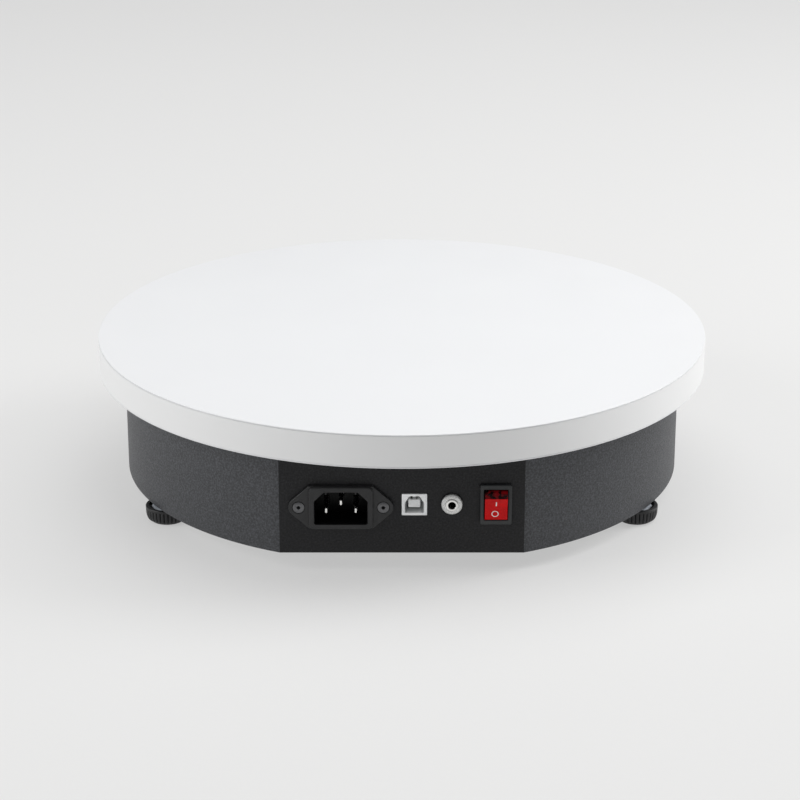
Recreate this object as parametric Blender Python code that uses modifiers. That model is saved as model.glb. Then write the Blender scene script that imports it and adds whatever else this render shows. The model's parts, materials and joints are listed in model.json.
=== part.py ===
"""Motorised turntable for product photography.

A laminated board platter, 310 mm across, turns on a spindle above a drum of bent sheet steel. The drum's flat
panel faces -Y and holds the mains inlet, a USB port, a remote jack and the power switch. Inside, a stepper motor
drives the spindle through a toothed belt. Three levelling feet carry the drum.

Metres, +Z up. The origin is on the floor, at the centre of the platter.
"""

import math

import bmesh
import bpy
from mathutils import Matrix, Vector

GAP = 0.0003                      # clearance between touching pieces

# platter
PLATTER_RADIUS = 0.155
PLATTER_TOP = 0.0790
BOARD_THICKNESS = 0.0150
LAMINATE_THICKNESS = 0.0008
EDGE_BAND_THICKNESS = 0.0010
PLATTER_BOTTOM = PLATTER_TOP - BOARD_THICKNESS - 2 * LAMINATE_THICKNESS

# drum
BASE_RADIUS = 0.142
PANEL_Y = -0.1296                 # outer plane of the flat panel
BASE_BOTTOM = 0.00925
BASE_TOP = 0.0599
SHEET = 0.0015
DECK_HOLE_RADIUS = 0.0310
DECK_UNDERSIDE = BASE_TOP - SHEET
INNER_RADIUS = BASE_RADIUS - SHEET
COVER_TOP = BASE_BOTTOM + SHEET
CUT_REACH = 0.0100                # how far a cutter runs to each side of a sheet

# vent slots in the bottom cover
VENT_SLOT = (0.0320, 0.0022)
VENT_CENTRE = (0.0300, -0.0800)
VENT_PITCH = 0.0070
VENT_ROWS = 7

# hub, and the three screws that hold the platter to it
HUB_RADIUS = 0.0400
HUB_BOTTOM = BASE_TOP + 0.0013
HUB_TOP = HUB_BOTTOM + 0.0045
HUB_COLLAR_RADIUS = 0.0140
HUB_COLLAR_DROP = 0.0020
HUB_SCREW_CIRCLE = 0.0280
HUB_SCREW_TURNS = (90, 210, 330)
HUB_SCREW_TIP = 0.0755            # height of its point, inside the board
HUB_SCREW_RADIUS = 0.0018
HUB_SCREW_HEAD_RADIUS = 0.0038
HUB_SCREW_HEAD_DEPTH = 0.0024
HUB_SCREW_HEAD_INSET = 0.0004
HUB_SCREW_POINT = 0.0020

# spindle and its two bearings, 17 x 35 x 10 mm
SPINDLE_RADIUS = 0.0085
SPINDLE_BOTTOM = 0.0130
SPINDLE_TAP_RADIUS = 0.0023
SPINDLE_TAP_DEPTH = 0.0090
SPINDLE_SCREW_RADIUS = 0.0020
SPINDLE_SCREW_LENGTH = 0.0080
SPINDLE_WASHER_RADIUS = 0.0100
SPINDLE_WASHER_THICKNESS = 0.0010
RACE_RADIUS = 0.0175
RACE_WALL_OFFSET = 0.0017         # from the ball circle to each race's plain wall
BEARING_WIDTH = 0.0100
BALL_RADIUS = 0.0022
BALL_PITCH_RADIUS = 0.0130
BALL_COUNT = 8
CAGE_HALF_WALL = 0.0008
CAGE_HALF_WIDTH = 0.0012
UPPER_BEARING_Z = 0.0510          # mid heights
LOWER_BEARING_Z = 0.0335
HOUSING_FLANGE_RADIUS = 0.0360
HOUSING_FLANGE_THICKNESS = 0.0030
HOUSING_WALL = 0.0060
HOUSING_SHOULDER = 0.0025         # how far the shoulders stand in over the outer races
HOUSING_LIP = 0.0010
HOUSING_BOTTOM = LOWER_BEARING_Z - BEARING_WIDTH / 2 - 0.0020

# belt drive: a 3 mm pitch belt on 12 and 72 teeth
BELT_PITCH = 0.0030
DRIVEN_TEETH = 72
DRIVE_TEETH = 12
DRIVEN_TOOTH_DEPTH = 0.0008
DRIVE_TOOTH_DEPTH = 0.0006
BELT_LOW = 0.0140
BELT_HIGH = 0.0200
BELT_THICKNESS = 0.0012
BELT_CLEARANCE = 0.00035          # from the teeth's tips to the belt
TOOTH_OVERHANG = 0.0005           # a pulley's teeth are this much taller than the belt on each side
PULLEY_WINDOW_RADIUS = 0.0060
PULLEY_WINDOW_CIRCLE = 0.0215
PULLEY_FLANGE_PROUD = 0.0012      # how far the flanges stand out from the pitch circle
PULLEY_FLANGE_THICKNESS = 0.0010

# stepper motor with a 42.3 mm square face
MOTOR_X = 0.0
MOTOR_Y = 0.0720
MOTOR_SIDE = 0.0423
MOTOR_CORNER = 0.0040
MOTOR_LOW = 0.0245
MOTOR_HIGH = DECK_UNDERSIDE - GAP
MOTOR_BOSS_RADIUS = 0.0110
MOTOR_BOSS_PROUD = 0.0018
MOTOR_SHAFT_RADIUS = 0.0025
MOTOR_SHAFT_LOW = 0.0118
MOTOR_SHAFT_REACH = 0.0250        # inside the motor
MOTOR_BRACKET_THICKNESS = 0.0012
MOTOR_BRACKET_HALF_WIDTH = 0.0190
MOTOR_BRACKET_FOOT = 0.0120
MOTOR_BRACKET_CLEARANCE = 0.0008

# places on the panel: x, and height z, of each fitting's centre
INLET_AT = (-0.0288, 0.0333)
USB_AT = (0.0059, 0.0342)
JACK_AT = (0.0236, 0.0347)
SWITCH_AT = (0.0444, 0.0346)

# mains inlet, to the standard sizes of a C14 inlet
INLET_SCREW_SPACING = 0.0400
INLET_EAR_RADIUS = 0.00475
INLET_HEIGHT = 0.0214
INLET_BODY = (0.0270, 0.0200)
INLET_CUT_OUT = (0.0276, 0.0206)
INLET_FLOOR_THICKNESS = 0.0020
HOOD_WIDTH = 0.0303
HOOD_CORNER = 0.0026
HOOD_PROUD = 0.0030
CAVITY_WIDTH = 0.0250
CAVITY_HEIGHT = 0.0160
CAVITY_CHAMFER = 0.0046
CAVITY_DEPTH = 0.0165
FLANGE_THICKNESS = 0.0016
PIN_WIDTH = 0.0020
PIN_HEIGHT = 0.0040
PIN_BEVEL = 0.0004
PIN_SETBACK = 0.0025              # from the hood's face to the pins' tips
PIN_TAIL = 0.0085                 # behind the cavity's floor
PINS = {"earth": (0.0, 0.0020), "live": (-0.0070, -0.0020), "neutral": (0.0070, -0.0020)}
FLANGE_SCREW_RADIUS = 0.0015
FLANGE_SCREW_HEAD_RADIUS = 0.00275
FLANGE_SCREW_PROUD = 0.0002
FLANGE_SCREW_TAIL = -0.0060
FLANGE_SCREW_PANEL_HOLE = 0.0020  # radius
CROSS_HALF_WIDTH = 0.00040
CROSS_HALF_LENGTH = 0.0013
CROSS_DEPTH = 0.0009

# USB type B port
USB_WIDTH = 0.01204
USB_HEIGHT = 0.0109
USB_PROUD = 0.0005
USB_DEPTH = 0.0130
USB_CORNER = 0.0004
USB_OPENING = (0.0090, 0.0081)
USB_CHAMFER = (0.0019, 0.0032)    # across and down, at each upper corner of the opening
USB_OPENING_DEPTH = 0.0110
USB_TONGUE = (0.0056, 0.0038)
USB_TONGUE_RISE = 0.0003          # its centre above the port's centre
USB_TONGUE_SETBACK = 0.0003
USB_TONGUE_TAIL = 0.0150

# 3.5 mm jack
JACK_BORE_RADIUS = 0.0018
JACK_BORE_CHAMFER = 0.0004
JACK_BUSHING_RADIUS = 0.00295
JACK_BUSHING_PROUD = 0.0030
JACK_BUSHING_TAIL = 0.0040
JACK_NUT_RADIUS = 0.0051
JACK_NUT_PROUD = 0.0022
JACK_NUT_RIDGES = 30
JACK_NUT_RIDGE_DEPTH = 0.0003
JACK_CUT_OUT_RADIUS = 0.0033
JACK_BODY_WIDTH = 0.0100
JACK_BODY_HEIGHT = 0.0120
JACK_BODY_BACK = 0.0170
JACK_BORE_DEPTH = 0.0155

# rocker switch
BEZEL_WIDTH = 0.0150
BEZEL_HEIGHT = 0.0200
BEZEL_CORNER = 0.0008
BEZEL_PROUD = 0.0020
WINDOW_WIDTH = 0.0113
WINDOW_HEIGHT = 0.0154
WINDOW_DEPTH = 0.0110
SWITCH_BODY = (0.0124, 0.0184)
SWITCH_BODY_BACK = 0.0165
SWITCH_CUT_OUT = (0.0130, 0.0190)
ROCKER_RADIUS = 0.0074            # the end walls run on this radius about the pivot
ROCKER_WIDTH = 0.0107
ROCKER_PIVOT_DEPTH = 0.0015       # behind the bezel's front
ROCKER_HALF_ANGLE = 55            # degrees from the face's normal to each end of the face
ROCKER_BACK_ANGLE = 100           # degrees from the face's normal to the back of each end wall
ROCKER_DISH = 0.0004
ROCKER_STEM = (0.0050, 0.0024)    # length behind the pivot, and width
ROCKER_TILT = 15                  # degrees: rest is off, with the upper end standing out

# levelling feet
FOOT_RADIUS = 0.1343              # circle that the three feet stand on
FOOT_BEARINGS = {"left": -60.5, "right": 60.5, "rear": 180}   # degrees from -Y towards +X
KNOB_RADIUS = 0.0109
KNOB_LOW = 0.0010
KNOB_HIGH = 0.0080
KNOB_RIBS = 34
KNOB_RIB_DEPTH = 0.0006
KNOB_RECESS_RADIUS = 0.0092
KNOB_RECESS_DEPTH = 0.0012
HEX_ACROSS_FLATS = 0.0140
HEX_SEAT = 0.0036                 # height of the hexagonal pocket's floor
HEX_HEAD_DROP = 0.0004            # from the knob's top to the stud head's top
STUD_RADIUS = 0.0040
STUD_TOP = 0.0285
STUD_HOLE_CLEARANCE = 0.0005
PAD_RADIUS = 0.0084
PAD_THICKNESS = 0.0025
PAD_EDGE = 0.0008
BRACKET_LOW = (-0.0100, -0.0080)  # corners in the foot's own frame, x away from the turntable's axis
BRACKET_HIGH = (0.0044, 0.0195)
BRACKET_TOP = 0.0240

# screws from the cover up into the foot brackets
COVER_SCREW_OFFSET = (-0.0045, 0.0155, 0.0)   # from a foot, in its own frame
COVER_SCREW_RADIUS = 0.0015
COVER_SCREW_HOLE_RADIUS = 0.0018
COVER_SCREW_HEAD_RADIUS = 0.0029
COVER_SCREW_TIP = 0.0165

# electronics
SUPPLY_LOW = (-0.0900, -0.0650, 0.0140)
SUPPLY_HIGH = (-0.0500, 0.0150, 0.0400)
SUPPLY_EDGE = 0.0015
BOARD_SIZE = (0.0460, 0.0560)
BOARD_CENTRE = (0.0120, PANEL_Y + 0.0330)
BOARD_LOW = 0.0262
BOARD_HIGH = BOARD_LOW + 0.0016
BOARD_STANDOFFS = {"left": (-0.0070, -0.0740), "right": (0.0310, -0.0740)}
STANDOFF_RADIUS = 0.0028
STANDOFF_HEAD_RADIUS = 0.0026
STANDOFF_HEAD_HIGH = BOARD_HIGH + 0.0019
STANDOFF_NECK_RADIUS = 0.0013
STANDOFF_HOLE_RADIUS = 0.0017

# outline steps
LARGE = 64
MEDIUM = 28
SMALL = 16

parts = bpy.data.collections.new("photography_turntable")
cutters = bpy.data.collections.new("cutters")


# ---- scene helpers ------------------------------------------------------------------------------------------

def clear_scene():
    for obj in list(bpy.data.objects):
        bpy.data.objects.remove(obj, do_unlink=True)
    bpy.context.scene.collection.children.link(parts)
    bpy.context.scene.collection.children.link(cutters)


def material(name, colour, roughness, metallic=0.0):
    made = bpy.data.materials.get(name)
    if made is None:
        made = bpy.data.materials.new(name)
        made.use_nodes = True
        shader = made.node_tree.nodes["Principled BSDF"]
        shader.inputs["Base Color"].default_value = (*colour, 1.0)
        shader.inputs["Roughness"].default_value = roughness
        shader.inputs["Metallic"].default_value = metallic
    return made


def laminate_white():
    return material("laminate_white", (0.86, 0.86, 0.85), 0.35)


def fibreboard():
    return material("fibreboard", (0.45, 0.32, 0.19), 0.85)


def black_powder_coat():
    return material("black_powder_coat", (0.020, 0.020, 0.021), 0.60)


def black_plastic():
    return material("black_plastic", (0.030, 0.030, 0.031), 0.45)


def white_plastic():
    return material("white_plastic", (0.75, 0.75, 0.74), 0.40)


def red_plastic():
    return material("red_plastic", (0.60, 0.02, 0.02), 0.25)


def black_rubber():
    return material("black_rubber", (0.020, 0.020, 0.020), 0.85)


def zinc_steel():
    return material("zinc_steel", (0.62, 0.62, 0.60), 0.30, 1.0)


def turned_steel():
    return material("turned_steel", (0.50, 0.50, 0.50), 0.25, 1.0)


def nickel_plate():
    return material("nickel_plate", (0.72, 0.70, 0.66), 0.22, 1.0)


def turned_aluminium():
    return material("turned_aluminium", (0.78, 0.78, 0.79), 0.30, 1.0)


def circuit_green():
    return material("circuit_green", (0.02, 0.16, 0.06), 0.50)


def place(name, mesh, finish, frame=None):
    """An object of this mesh, placed by a matrix."""
    obj = bpy.data.objects.new(name, mesh)
    parts.objects.link(obj)
    if frame is not None:
        obj.matrix_world = frame
    if finish is not None:
        mesh.materials.append(finish)
    return obj


def mesh_of(name, bm):
    mesh = bpy.data.meshes.new(name)
    bmesh.ops.recalc_face_normals(bm, faces=bm.faces)
    bm.to_mesh(mesh)
    bm.free()
    return mesh


def round_shading(obj, angle=35):
    obj.data.shade_smooth()
    obj.data.set_sharp_from_angle(angle=math.radians(angle))
    return obj


def as_cutter(obj):
    """Takes a helper solid out of the part: it only shapes others through their Booleans."""
    parts.objects.unlink(obj)
    cutters.objects.link(obj)
    obj.hide_render = True
    obj.display_type = "WIRE"
    return obj


def boolean(obj, other, operation):
    modifier = obj.modifiers.new(f"{operation.lower()}_{other.name}", "BOOLEAN")
    modifier.object = as_cutter(other)
    modifier.operation = operation
    modifier.solver = "EXACT"
    return obj


def cut(obj, *others):
    for other in others:
        boolean(obj, other, "DIFFERENCE")
    return obj


def join(obj, *others):
    for other in others:
        boolean(obj, other, "UNION")
    return obj


# ---- outlines: closed lists of (x, y) points -----------------------------------------------------------------

def arc(radius, start, end, steps, centre=(0.0, 0.0)):
    """Points along an arc, from start to end degrees, both ends included."""
    angles = [math.radians(start + (end - start) * i / steps) for i in range(steps + 1)]
    return [(centre[0] + radius * math.cos(a), centre[1] + radius * math.sin(a)) for a in angles]


def circle(radius, steps=SMALL, centre=(0.0, 0.0)):
    return arc(radius, 0, 360, steps, centre)[:-1]


def rectangle(width, height, centre=(0.0, 0.0)):
    x, y = width / 2, height / 2
    return [(centre[0] + a * x, centre[1] + b * y) for a, b in ((-1, -1), (1, -1), (1, 1), (-1, 1))]


def rounded_rectangle(width, height, radius, steps=4, centre=(0.0, 0.0)):
    x, y = width / 2 - radius, height / 2 - radius
    corners = ((x, y, 0), (-x, y, 90), (-x, -y, 180), (x, -y, 270))
    return [
        point
        for cx, cy, start in corners
        for point in arc(radius, start, start + 90, steps, (centre[0] + cx, centre[1] + cy))
    ]


def top_chamfered(width, height, across, down):
    """A rectangle with its two upper corners cut off, by so much across and so much down."""
    x, y = width / 2, height / 2
    return [(-x, -y), (x, -y), (x, y - down), (x - across, y), (across - x, y), (-x, y - down)]


def drum_outline(radius, panel_inset, steps=LARGE):
    """A circle with the panel's chord cut off, at this inset from the panel's outer plane."""
    chord = PANEL_Y + panel_inset
    half = math.degrees(math.acos(-chord / radius))
    return arc(radius, -90 + half, 270 - half, steps)


def ridged(radius, depth, ridges):
    """A circle with this many straight ridges round it."""
    steps = [(radius - depth * (step % 2), math.pi * step / ridges) for step in range(2 * ridges)]
    return [(reach * math.cos(angle), reach * math.sin(angle)) for reach, angle in steps]


def hexagon(across_flats):
    return circle(across_flats / math.sqrt(3), 6)


def lozenge(width, height, ear_radius, spacing, steps=6):
    """A block with a pointed, rounded ear at each side, as on a flanged inlet."""
    x, y, ear = width / 2, height / 2, spacing / 2
    run = ear - x
    tangent = math.degrees(math.atan2(y, -run) - math.acos(ear_radius / math.hypot(run, y)))
    right = arc(ear_radius, tangent, -tangent, steps, (ear, 0.0))
    left = [(-px, py) for px, py in reversed(right)]
    return [(-x, y), (x, y)] + right + [(x, -y), (-x, -y)] + left


# ---- solids ------------------------------------------------------------------------------------------------

def plate(name, outlines, low, high, finish=None, frame=None):
    """A flat piece: the first outline is its edge and the others are holes. It spans low to high on its own z."""
    curve = bpy.data.curves.new(name, "CURVE")
    curve.dimensions = "2D"
    curve.fill_mode = "BOTH"
    curve.extrude = (high - low) / 2
    for points in outlines:
        spline = curve.splines.new("POLY")
        spline.points.add(len(points) - 1)
        for point, (x, y) in zip(spline.points, points):
            point.co = (x, y, 0.0, 1.0)
        spline.use_cyclic_u = True
    guide = bpy.data.objects.new(name + "_outline", curve)
    parts.objects.link(guide)
    bpy.context.view_layer.update()
    filled = guide.evaluated_get(bpy.context.evaluated_depsgraph_get())
    mesh = bpy.data.meshes.new_from_object(filled)
    bpy.data.objects.remove(guide)
    mesh.name = name
    bm = bmesh.new()
    bm.from_mesh(mesh)
    bmesh.ops.remove_doubles(bm, verts=bm.verts, dist=1e-6)
    bmesh.ops.translate(bm, verts=bm.verts, vec=(0, 0, (low + high) / 2))
    bmesh.ops.recalc_face_normals(bm, faces=bm.faces)
    bm.to_mesh(mesh)
    bm.free()
    mesh.materials.clear()
    return place(name, mesh, finish, frame)


def block(name, low, high, finish=None, frame=None, bevel=0.0, bevel_steps=2):
    """A box between two corners, with its edges bevelled if asked."""
    bm = bmesh.new()
    bmesh.ops.create_cube(bm, size=1.0)
    bmesh.ops.scale(bm, verts=bm.verts, vec=Vector(high) - Vector(low))
    bmesh.ops.translate(bm, verts=bm.verts, vec=(Vector(high) + Vector(low)) / 2)
    obj = place(name, mesh_of(name, bm), finish, frame)
    if bevel:
        modifier = obj.modifiers.new("bevel", "BEVEL")
        modifier.width = bevel
        modifier.segments = bevel_steps
    return obj


def rod(name, radius, low, high, finish=None, frame=None, steps=SMALL):
    """A cylinder about its own z."""
    bm = bmesh.new()
    bmesh.ops.create_cone(
        bm, cap_ends=True, segments=steps, radius1=radius, radius2=radius, depth=high - low
    )
    bmesh.ops.translate(bm, verts=bm.verts, vec=(0, 0, (low + high) / 2))
    return round_shading(place(name, mesh_of(name, bm), finish, frame))


def turned(name, profile, finish=None, frame=None, steps=MEDIUM, ring=False):
    """A profile of (radius, height) points, down the outer side, turned about its own z.

    A ring's profile is closed; any other starts and ends on the axis.
    """
    bm = bmesh.new()
    points = [bm.verts.new((radius, 0.0, height)) for radius, height in profile]
    for first, second in zip(points, points[1:]):
        bm.edges.new((first, second))
    if ring:
        bm.edges.new((points[-1], points[0]))
    mesh = bpy.data.meshes.new(name)
    bm.to_mesh(mesh)
    bm.free()
    obj = place(name, mesh, finish, frame)
    screw = obj.modifiers.new("turn", "SCREW")
    screw.steps = steps
    screw.render_steps = steps
    screw.use_merge_vertices = True
    screw.merge_threshold = 0.00001
    screw.use_smooth_shade = True
    return obj


def ring(name, inner, outer, low, high, finish=None, frame=None, steps=MEDIUM):
    profile = [(outer, high), (outer, low), (inner, low), (inner, high)]
    return turned(name, profile, finish, frame, steps, ring=True)


def cable(name, route, radius, finish):
    """A round cable on a smooth curve through the route, filled at its ends."""
    points = smooth_route(route, 6 * radius)
    curve = bpy.data.curves.new(name, "CURVE")
    curve.dimensions = "3D"
    curve.bevel_depth = radius
    curve.bevel_resolution = 2
    curve.use_fill_caps = True
    spline = curve.splines.new("POLY")
    spline.points.add(len(points) - 1)
    for point, at in zip(spline.points, points):
        point.co = (*at, 1.0)
    curve.materials.append(finish)
    parts.objects.link(bpy.data.objects.new(name, curve))


def smooth_route(route, step):
    """Points about a step apart on a smooth curve through the route's own points."""
    points = [Vector(p) for p in route]
    ends = [2 * points[0] - points[1]] + points + [2 * points[-1] - points[-2]]
    smooth = []
    for a, b, c, d in zip(ends, ends[1:], ends[2:], ends[3:]):
        # a Catmull-Rom span from b to c
        linear, square, cube = c - a, 2 * a - 5 * b + 4 * c - d, 3 * b - a - 3 * c + d
        count = max(1, round((c - b).length / step))
        for i in range(count):
            t = i / count
            smooth.append(b + (linear * t + square * t**2 + cube * t**3) / 2)
    return smooth + [points[-1]]


def sheet_metal(name, bm, thickness, finish, frame=None):
    """An open surface given its thickness on the side that its faces turn away from."""
    mesh = bpy.data.meshes.new(name)
    bm.to_mesh(mesh)
    bm.free()
    obj = place(name, mesh, finish, frame)
    solidify = obj.modifiers.new("sheet", "SOLIDIFY")
    solidify.thickness = thickness
    solidify.offset = -1.0
    solidify.use_even_offset = True
    return obj


# ---- frames ------------------------------------------------------------------------------------------------

def at(x, y, z=0.0, turn=0.0):
    """A frame at this place, turned about +Z by so many degrees."""
    return Matrix.Translation((x, y, z)) @ Matrix.Rotation(math.radians(turn), 4, "Z")


def on_panel(spot):
    """A frame on the panel's outer plane: its x runs along +X, its y up, and its z out of the panel."""
    return Matrix.Translation((spot[0], PANEL_Y, spot[1])) @ Matrix.Rotation(math.radians(90), 4, "X")


def around(radius, turn):
    """The point at this radius and this many degrees round from +X."""
    return (radius * math.cos(math.radians(turn)), radius * math.sin(math.radians(turn)))


def foot_frame(bearing):
    """A frame on the floor under a foot, with its x pointing away from the turntable's axis."""
    turn = bearing - 90
    return at(*around(FOOT_RADIUS, turn), 0.0, turn)


# ---- platter -----------------------------------------------------------------------------------------------

def platter():
    """A laminated board on an aluminium hub."""
    core_radius = PLATTER_RADIUS - EDGE_BAND_THICKNESS - GAP
    core_low = PLATTER_BOTTOM + LAMINATE_THICKNESS + GAP
    core_high = PLATTER_TOP - LAMINATE_THICKNESS - GAP
    bore = HUB_RADIUS + GAP

    turned(
        "top_laminate",
        [(0, PLATTER_TOP), (PLATTER_RADIUS, PLATTER_TOP), (PLATTER_RADIUS, PLATTER_TOP - LAMINATE_THICKNESS),
         (0, PLATTER_TOP - LAMINATE_THICKNESS)],
        laminate_white(), steps=LARGE,
    )
    ring(
        "edge_band", PLATTER_RADIUS - EDGE_BAND_THICKNESS, PLATTER_RADIUS, core_low, core_high, laminate_white(),
        steps=LARGE,
    )
    ring(
        "bottom_laminate", bore, PLATTER_RADIUS, PLATTER_BOTTOM, PLATTER_BOTTOM + LAMINATE_THICKNESS,
        laminate_white(), steps=LARGE,
    )
    board = turned(
        "platter_board",
        [(0, core_high), (core_radius, core_high), (core_radius, core_low), (bore, core_low),
         (bore, HUB_TOP + GAP), (0, HUB_TOP + GAP)],
        fibreboard(), steps=LARGE,
    )
    seat = SPINDLE_RADIUS + GAP
    hub = turned(
        "platter_hub",
        [(HUB_RADIUS, HUB_TOP), (HUB_RADIUS, HUB_BOTTOM), (HUB_COLLAR_RADIUS, HUB_BOTTOM),
         (HUB_COLLAR_RADIUS, HUB_BOTTOM - HUB_COLLAR_DROP), (seat, HUB_BOTTOM - HUB_COLLAR_DROP), (seat, HUB_TOP)],
        turned_aluminium(), ring=True,
    )
    for index, turn in enumerate(HUB_SCREW_TURNS, start=1):
        frame = at(*around(HUB_SCREW_CIRCLE, turn))
        hub_screw(f"hub_screw_{index}", frame)
        cut(hub, hub_screw(f"hub_screw_hole_{index}", frame, GAP))
        cut(board, rod(f"hub_screw_bore_{index}", HUB_SCREW_RADIUS + GAP, HUB_TOP, HUB_SCREW_TIP + GAP, frame=frame))


def hub_screw(name, frame, grow=0.0):
    """A countersunk screw with its head down, in the hub's flange, or its hole when grown by a clearance."""
    head = HUB_BOTTOM + HUB_SCREW_HEAD_INSET - 2 * grow
    shank, wide, tip = HUB_SCREW_RADIUS + grow, HUB_SCREW_HEAD_RADIUS + grow, HUB_SCREW_TIP + grow
    return turned(
        name,
        [(0, tip), (shank / 2, tip), (shank, tip - HUB_SCREW_POINT), (shank, head + HUB_SCREW_HEAD_DEPTH + 2 * grow),
         (wide, head + 2 * grow), (wide, head), (0, head)],
        zinc_steel(), frame, steps=SMALL,
    )


# ---- spindle, bearings and belt drive ------------------------------------------------------------------------

def race(name, mid, inner, finish):
    """One race of a ball bearing, with its groove."""
    high, low = mid + BEARING_WIDTH / 2, mid - BEARING_WIDTH / 2
    if inner:
        wall, back, start, end = BALL_PITCH_RADIUS - RACE_WALL_OFFSET, SPINDLE_RADIUS + GAP, 135, 225
    else:
        wall, back, start, end = BALL_PITCH_RADIUS + RACE_WALL_OFFSET, RACE_RADIUS, 45, -45
    groove = arc(BALL_RADIUS + GAP, start, end, 4, (BALL_PITCH_RADIUS, mid))
    if inner:
        profile = [(wall, high)] + groove + [(wall, low), (back, low), (back, high)]
    else:
        profile = [(back, high), (back, low), (wall, low)] + groove[::-1] + [(wall, high)]
    turned(name, profile, finish, steps=24, ring=True)


def ball_cage(name, mid):
    """A cage ring with its balls, as one piece."""
    cage = ring(
        name, BALL_PITCH_RADIUS - CAGE_HALF_WALL, BALL_PITCH_RADIUS + CAGE_HALF_WALL, mid - CAGE_HALF_WIDTH,
        mid + CAGE_HALF_WIDTH, nickel_plate(), steps=SMALL,
    )
    for index in range(BALL_COUNT):
        bm = bmesh.new()
        bmesh.ops.create_uvsphere(bm, u_segments=8, v_segments=5, radius=BALL_RADIUS)
        spot = at(*around(BALL_PITCH_RADIUS, 360 * index / BALL_COUNT), mid)
        ball_name = f"{name}_ball_{index}"
        join(cage, round_shading(place(ball_name, mesh_of(ball_name, bm), nickel_plate(), spot)))


def bearings():
    """The housing hangs from the deck and holds both bearings against its middle shoulder."""
    top = DECK_UNDERSIDE - GAP
    seat = RACE_RADIUS + GAP
    outside = RACE_RADIUS + HOUSING_WALL
    shoulder = RACE_RADIUS - HOUSING_SHOULDER
    lip_top = HOUSING_BOTTOM + HOUSING_LIP
    upper_seat = UPPER_BEARING_Z - BEARING_WIDTH / 2 - GAP
    lower_seat = LOWER_BEARING_Z + BEARING_WIDTH / 2 + GAP
    turned(
        "bearing_housing",
        [(HOUSING_FLANGE_RADIUS, top), (HOUSING_FLANGE_RADIUS, top - HOUSING_FLANGE_THICKNESS),
         (outside, top - HOUSING_FLANGE_THICKNESS), (outside, HOUSING_BOTTOM), (shoulder, HOUSING_BOTTOM),
         (shoulder, lip_top), (seat, lip_top + GAP), (seat, lower_seat), (shoulder, lower_seat),
         (shoulder, upper_seat), (seat, upper_seat), (seat, top)],
        turned_aluminium(), ring=True,
    )
    for level, mid in (("upper", UPPER_BEARING_Z), ("lower", LOWER_BEARING_Z)):
        race(f"{level}_outer_race", mid, False, turned_steel())
        race(f"{level}_inner_race", mid, True, turned_steel())
        ball_cage(f"{level}_ball_cage", mid)


def spindle():
    """The spindle, tapped from below for the screw whose wide head keeps the pulley on."""
    tap_end = SPINDLE_BOTTOM + SPINDLE_TAP_DEPTH
    turned(
        "spindle",
        [(0, HUB_TOP - GAP), (SPINDLE_RADIUS, HUB_TOP - GAP), (SPINDLE_RADIUS, SPINDLE_BOTTOM),
         (SPINDLE_TAP_RADIUS, SPINDLE_BOTTOM), (SPINDLE_TAP_RADIUS, tap_end), (0, tap_end + SPINDLE_TAP_RADIUS / 2)],
        turned_steel(), steps=32,
    )
    head_top = SPINDLE_BOTTOM - GAP
    head_low = head_top - SPINDLE_WASHER_THICKNESS
    tip = SPINDLE_BOTTOM + SPINDLE_SCREW_LENGTH
    turned(
        "spindle_screw",
        [(0, tip), (SPINDLE_SCREW_RADIUS, tip), (SPINDLE_SCREW_RADIUS, head_top), (SPINDLE_WASHER_RADIUS, head_top),
         (SPINDLE_WASHER_RADIUS, head_low), (0, head_low)],
        zinc_steel(), steps=24,
    )


def pulley_radius(teeth):
    """The pitch radius for this many teeth."""
    return teeth * BELT_PITCH / (2 * math.pi)


def toothed_outline(teeth, depth):
    """A pulley's rim, with one ridge a pitch."""
    return ridged(pulley_radius(teeth) - BELT_THICKNESS / 2 - GAP, depth, teeth)


def pulleys():
    """The driven pulley on the spindle, and the small flanged one on the motor's shaft."""
    low, high = BELT_LOW - TOOTH_OVERHANG, BELT_HIGH + TOOTH_OVERHANG
    windows = [circle(PULLEY_WINDOW_RADIUS, 14, around(PULLEY_WINDOW_CIRCLE, turn)) for turn in range(0, 360, 60)]
    rim = toothed_outline(DRIVEN_TEETH, DRIVEN_TOOTH_DEPTH)
    bore = circle(SPINDLE_RADIUS + GAP, MEDIUM)
    plate("driven_pulley", [rim, bore] + windows, low, high, turned_aluminium())

    spot = at(MOTOR_X, MOTOR_Y)
    shaft_seat = MOTOR_SHAFT_RADIUS + GAP
    rim = toothed_outline(DRIVE_TEETH, DRIVE_TOOTH_DEPTH)
    drive = plate("drive_pulley", [rim, circle(shaft_seat)], low, high, turned_aluminium(), spot)
    flange = pulley_radius(DRIVE_TEETH) + PULLEY_FLANGE_PROUD
    for name, start in (("low", BELT_LOW - GAP - PULLEY_FLANGE_THICKNESS), ("high", BELT_HIGH + GAP)):
        join(drive, ring(
            f"drive_pulley_flange_{name}", shaft_seat + GAP, flange, start, start + PULLEY_FLANGE_THICKNESS,
            turned_aluminium(), spot, SMALL,
        ))


def belt():
    """A flat loop round both pulleys, a clearance outside their teeth."""
    span = math.hypot(MOTOR_X, MOTOR_Y)
    driven, drive = pulley_radius(DRIVEN_TEETH), pulley_radius(DRIVE_TEETH)
    lean = math.degrees(math.asin((driven - drive) / span))

    def loop(grow):
        """The loop about the line from the spindle to the motor, which lies along +Y."""
        return arc(drive + grow, lean, 180 - lean, 12, (0.0, span)) + arc(driven + grow, 180 - lean, 360 + lean, 60)

    inside = BELT_CLEARANCE - BELT_THICKNESS / 2
    plate("timing_belt", [loop(inside + BELT_THICKNESS), loop(inside)], BELT_LOW, BELT_HIGH, black_rubber())


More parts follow.
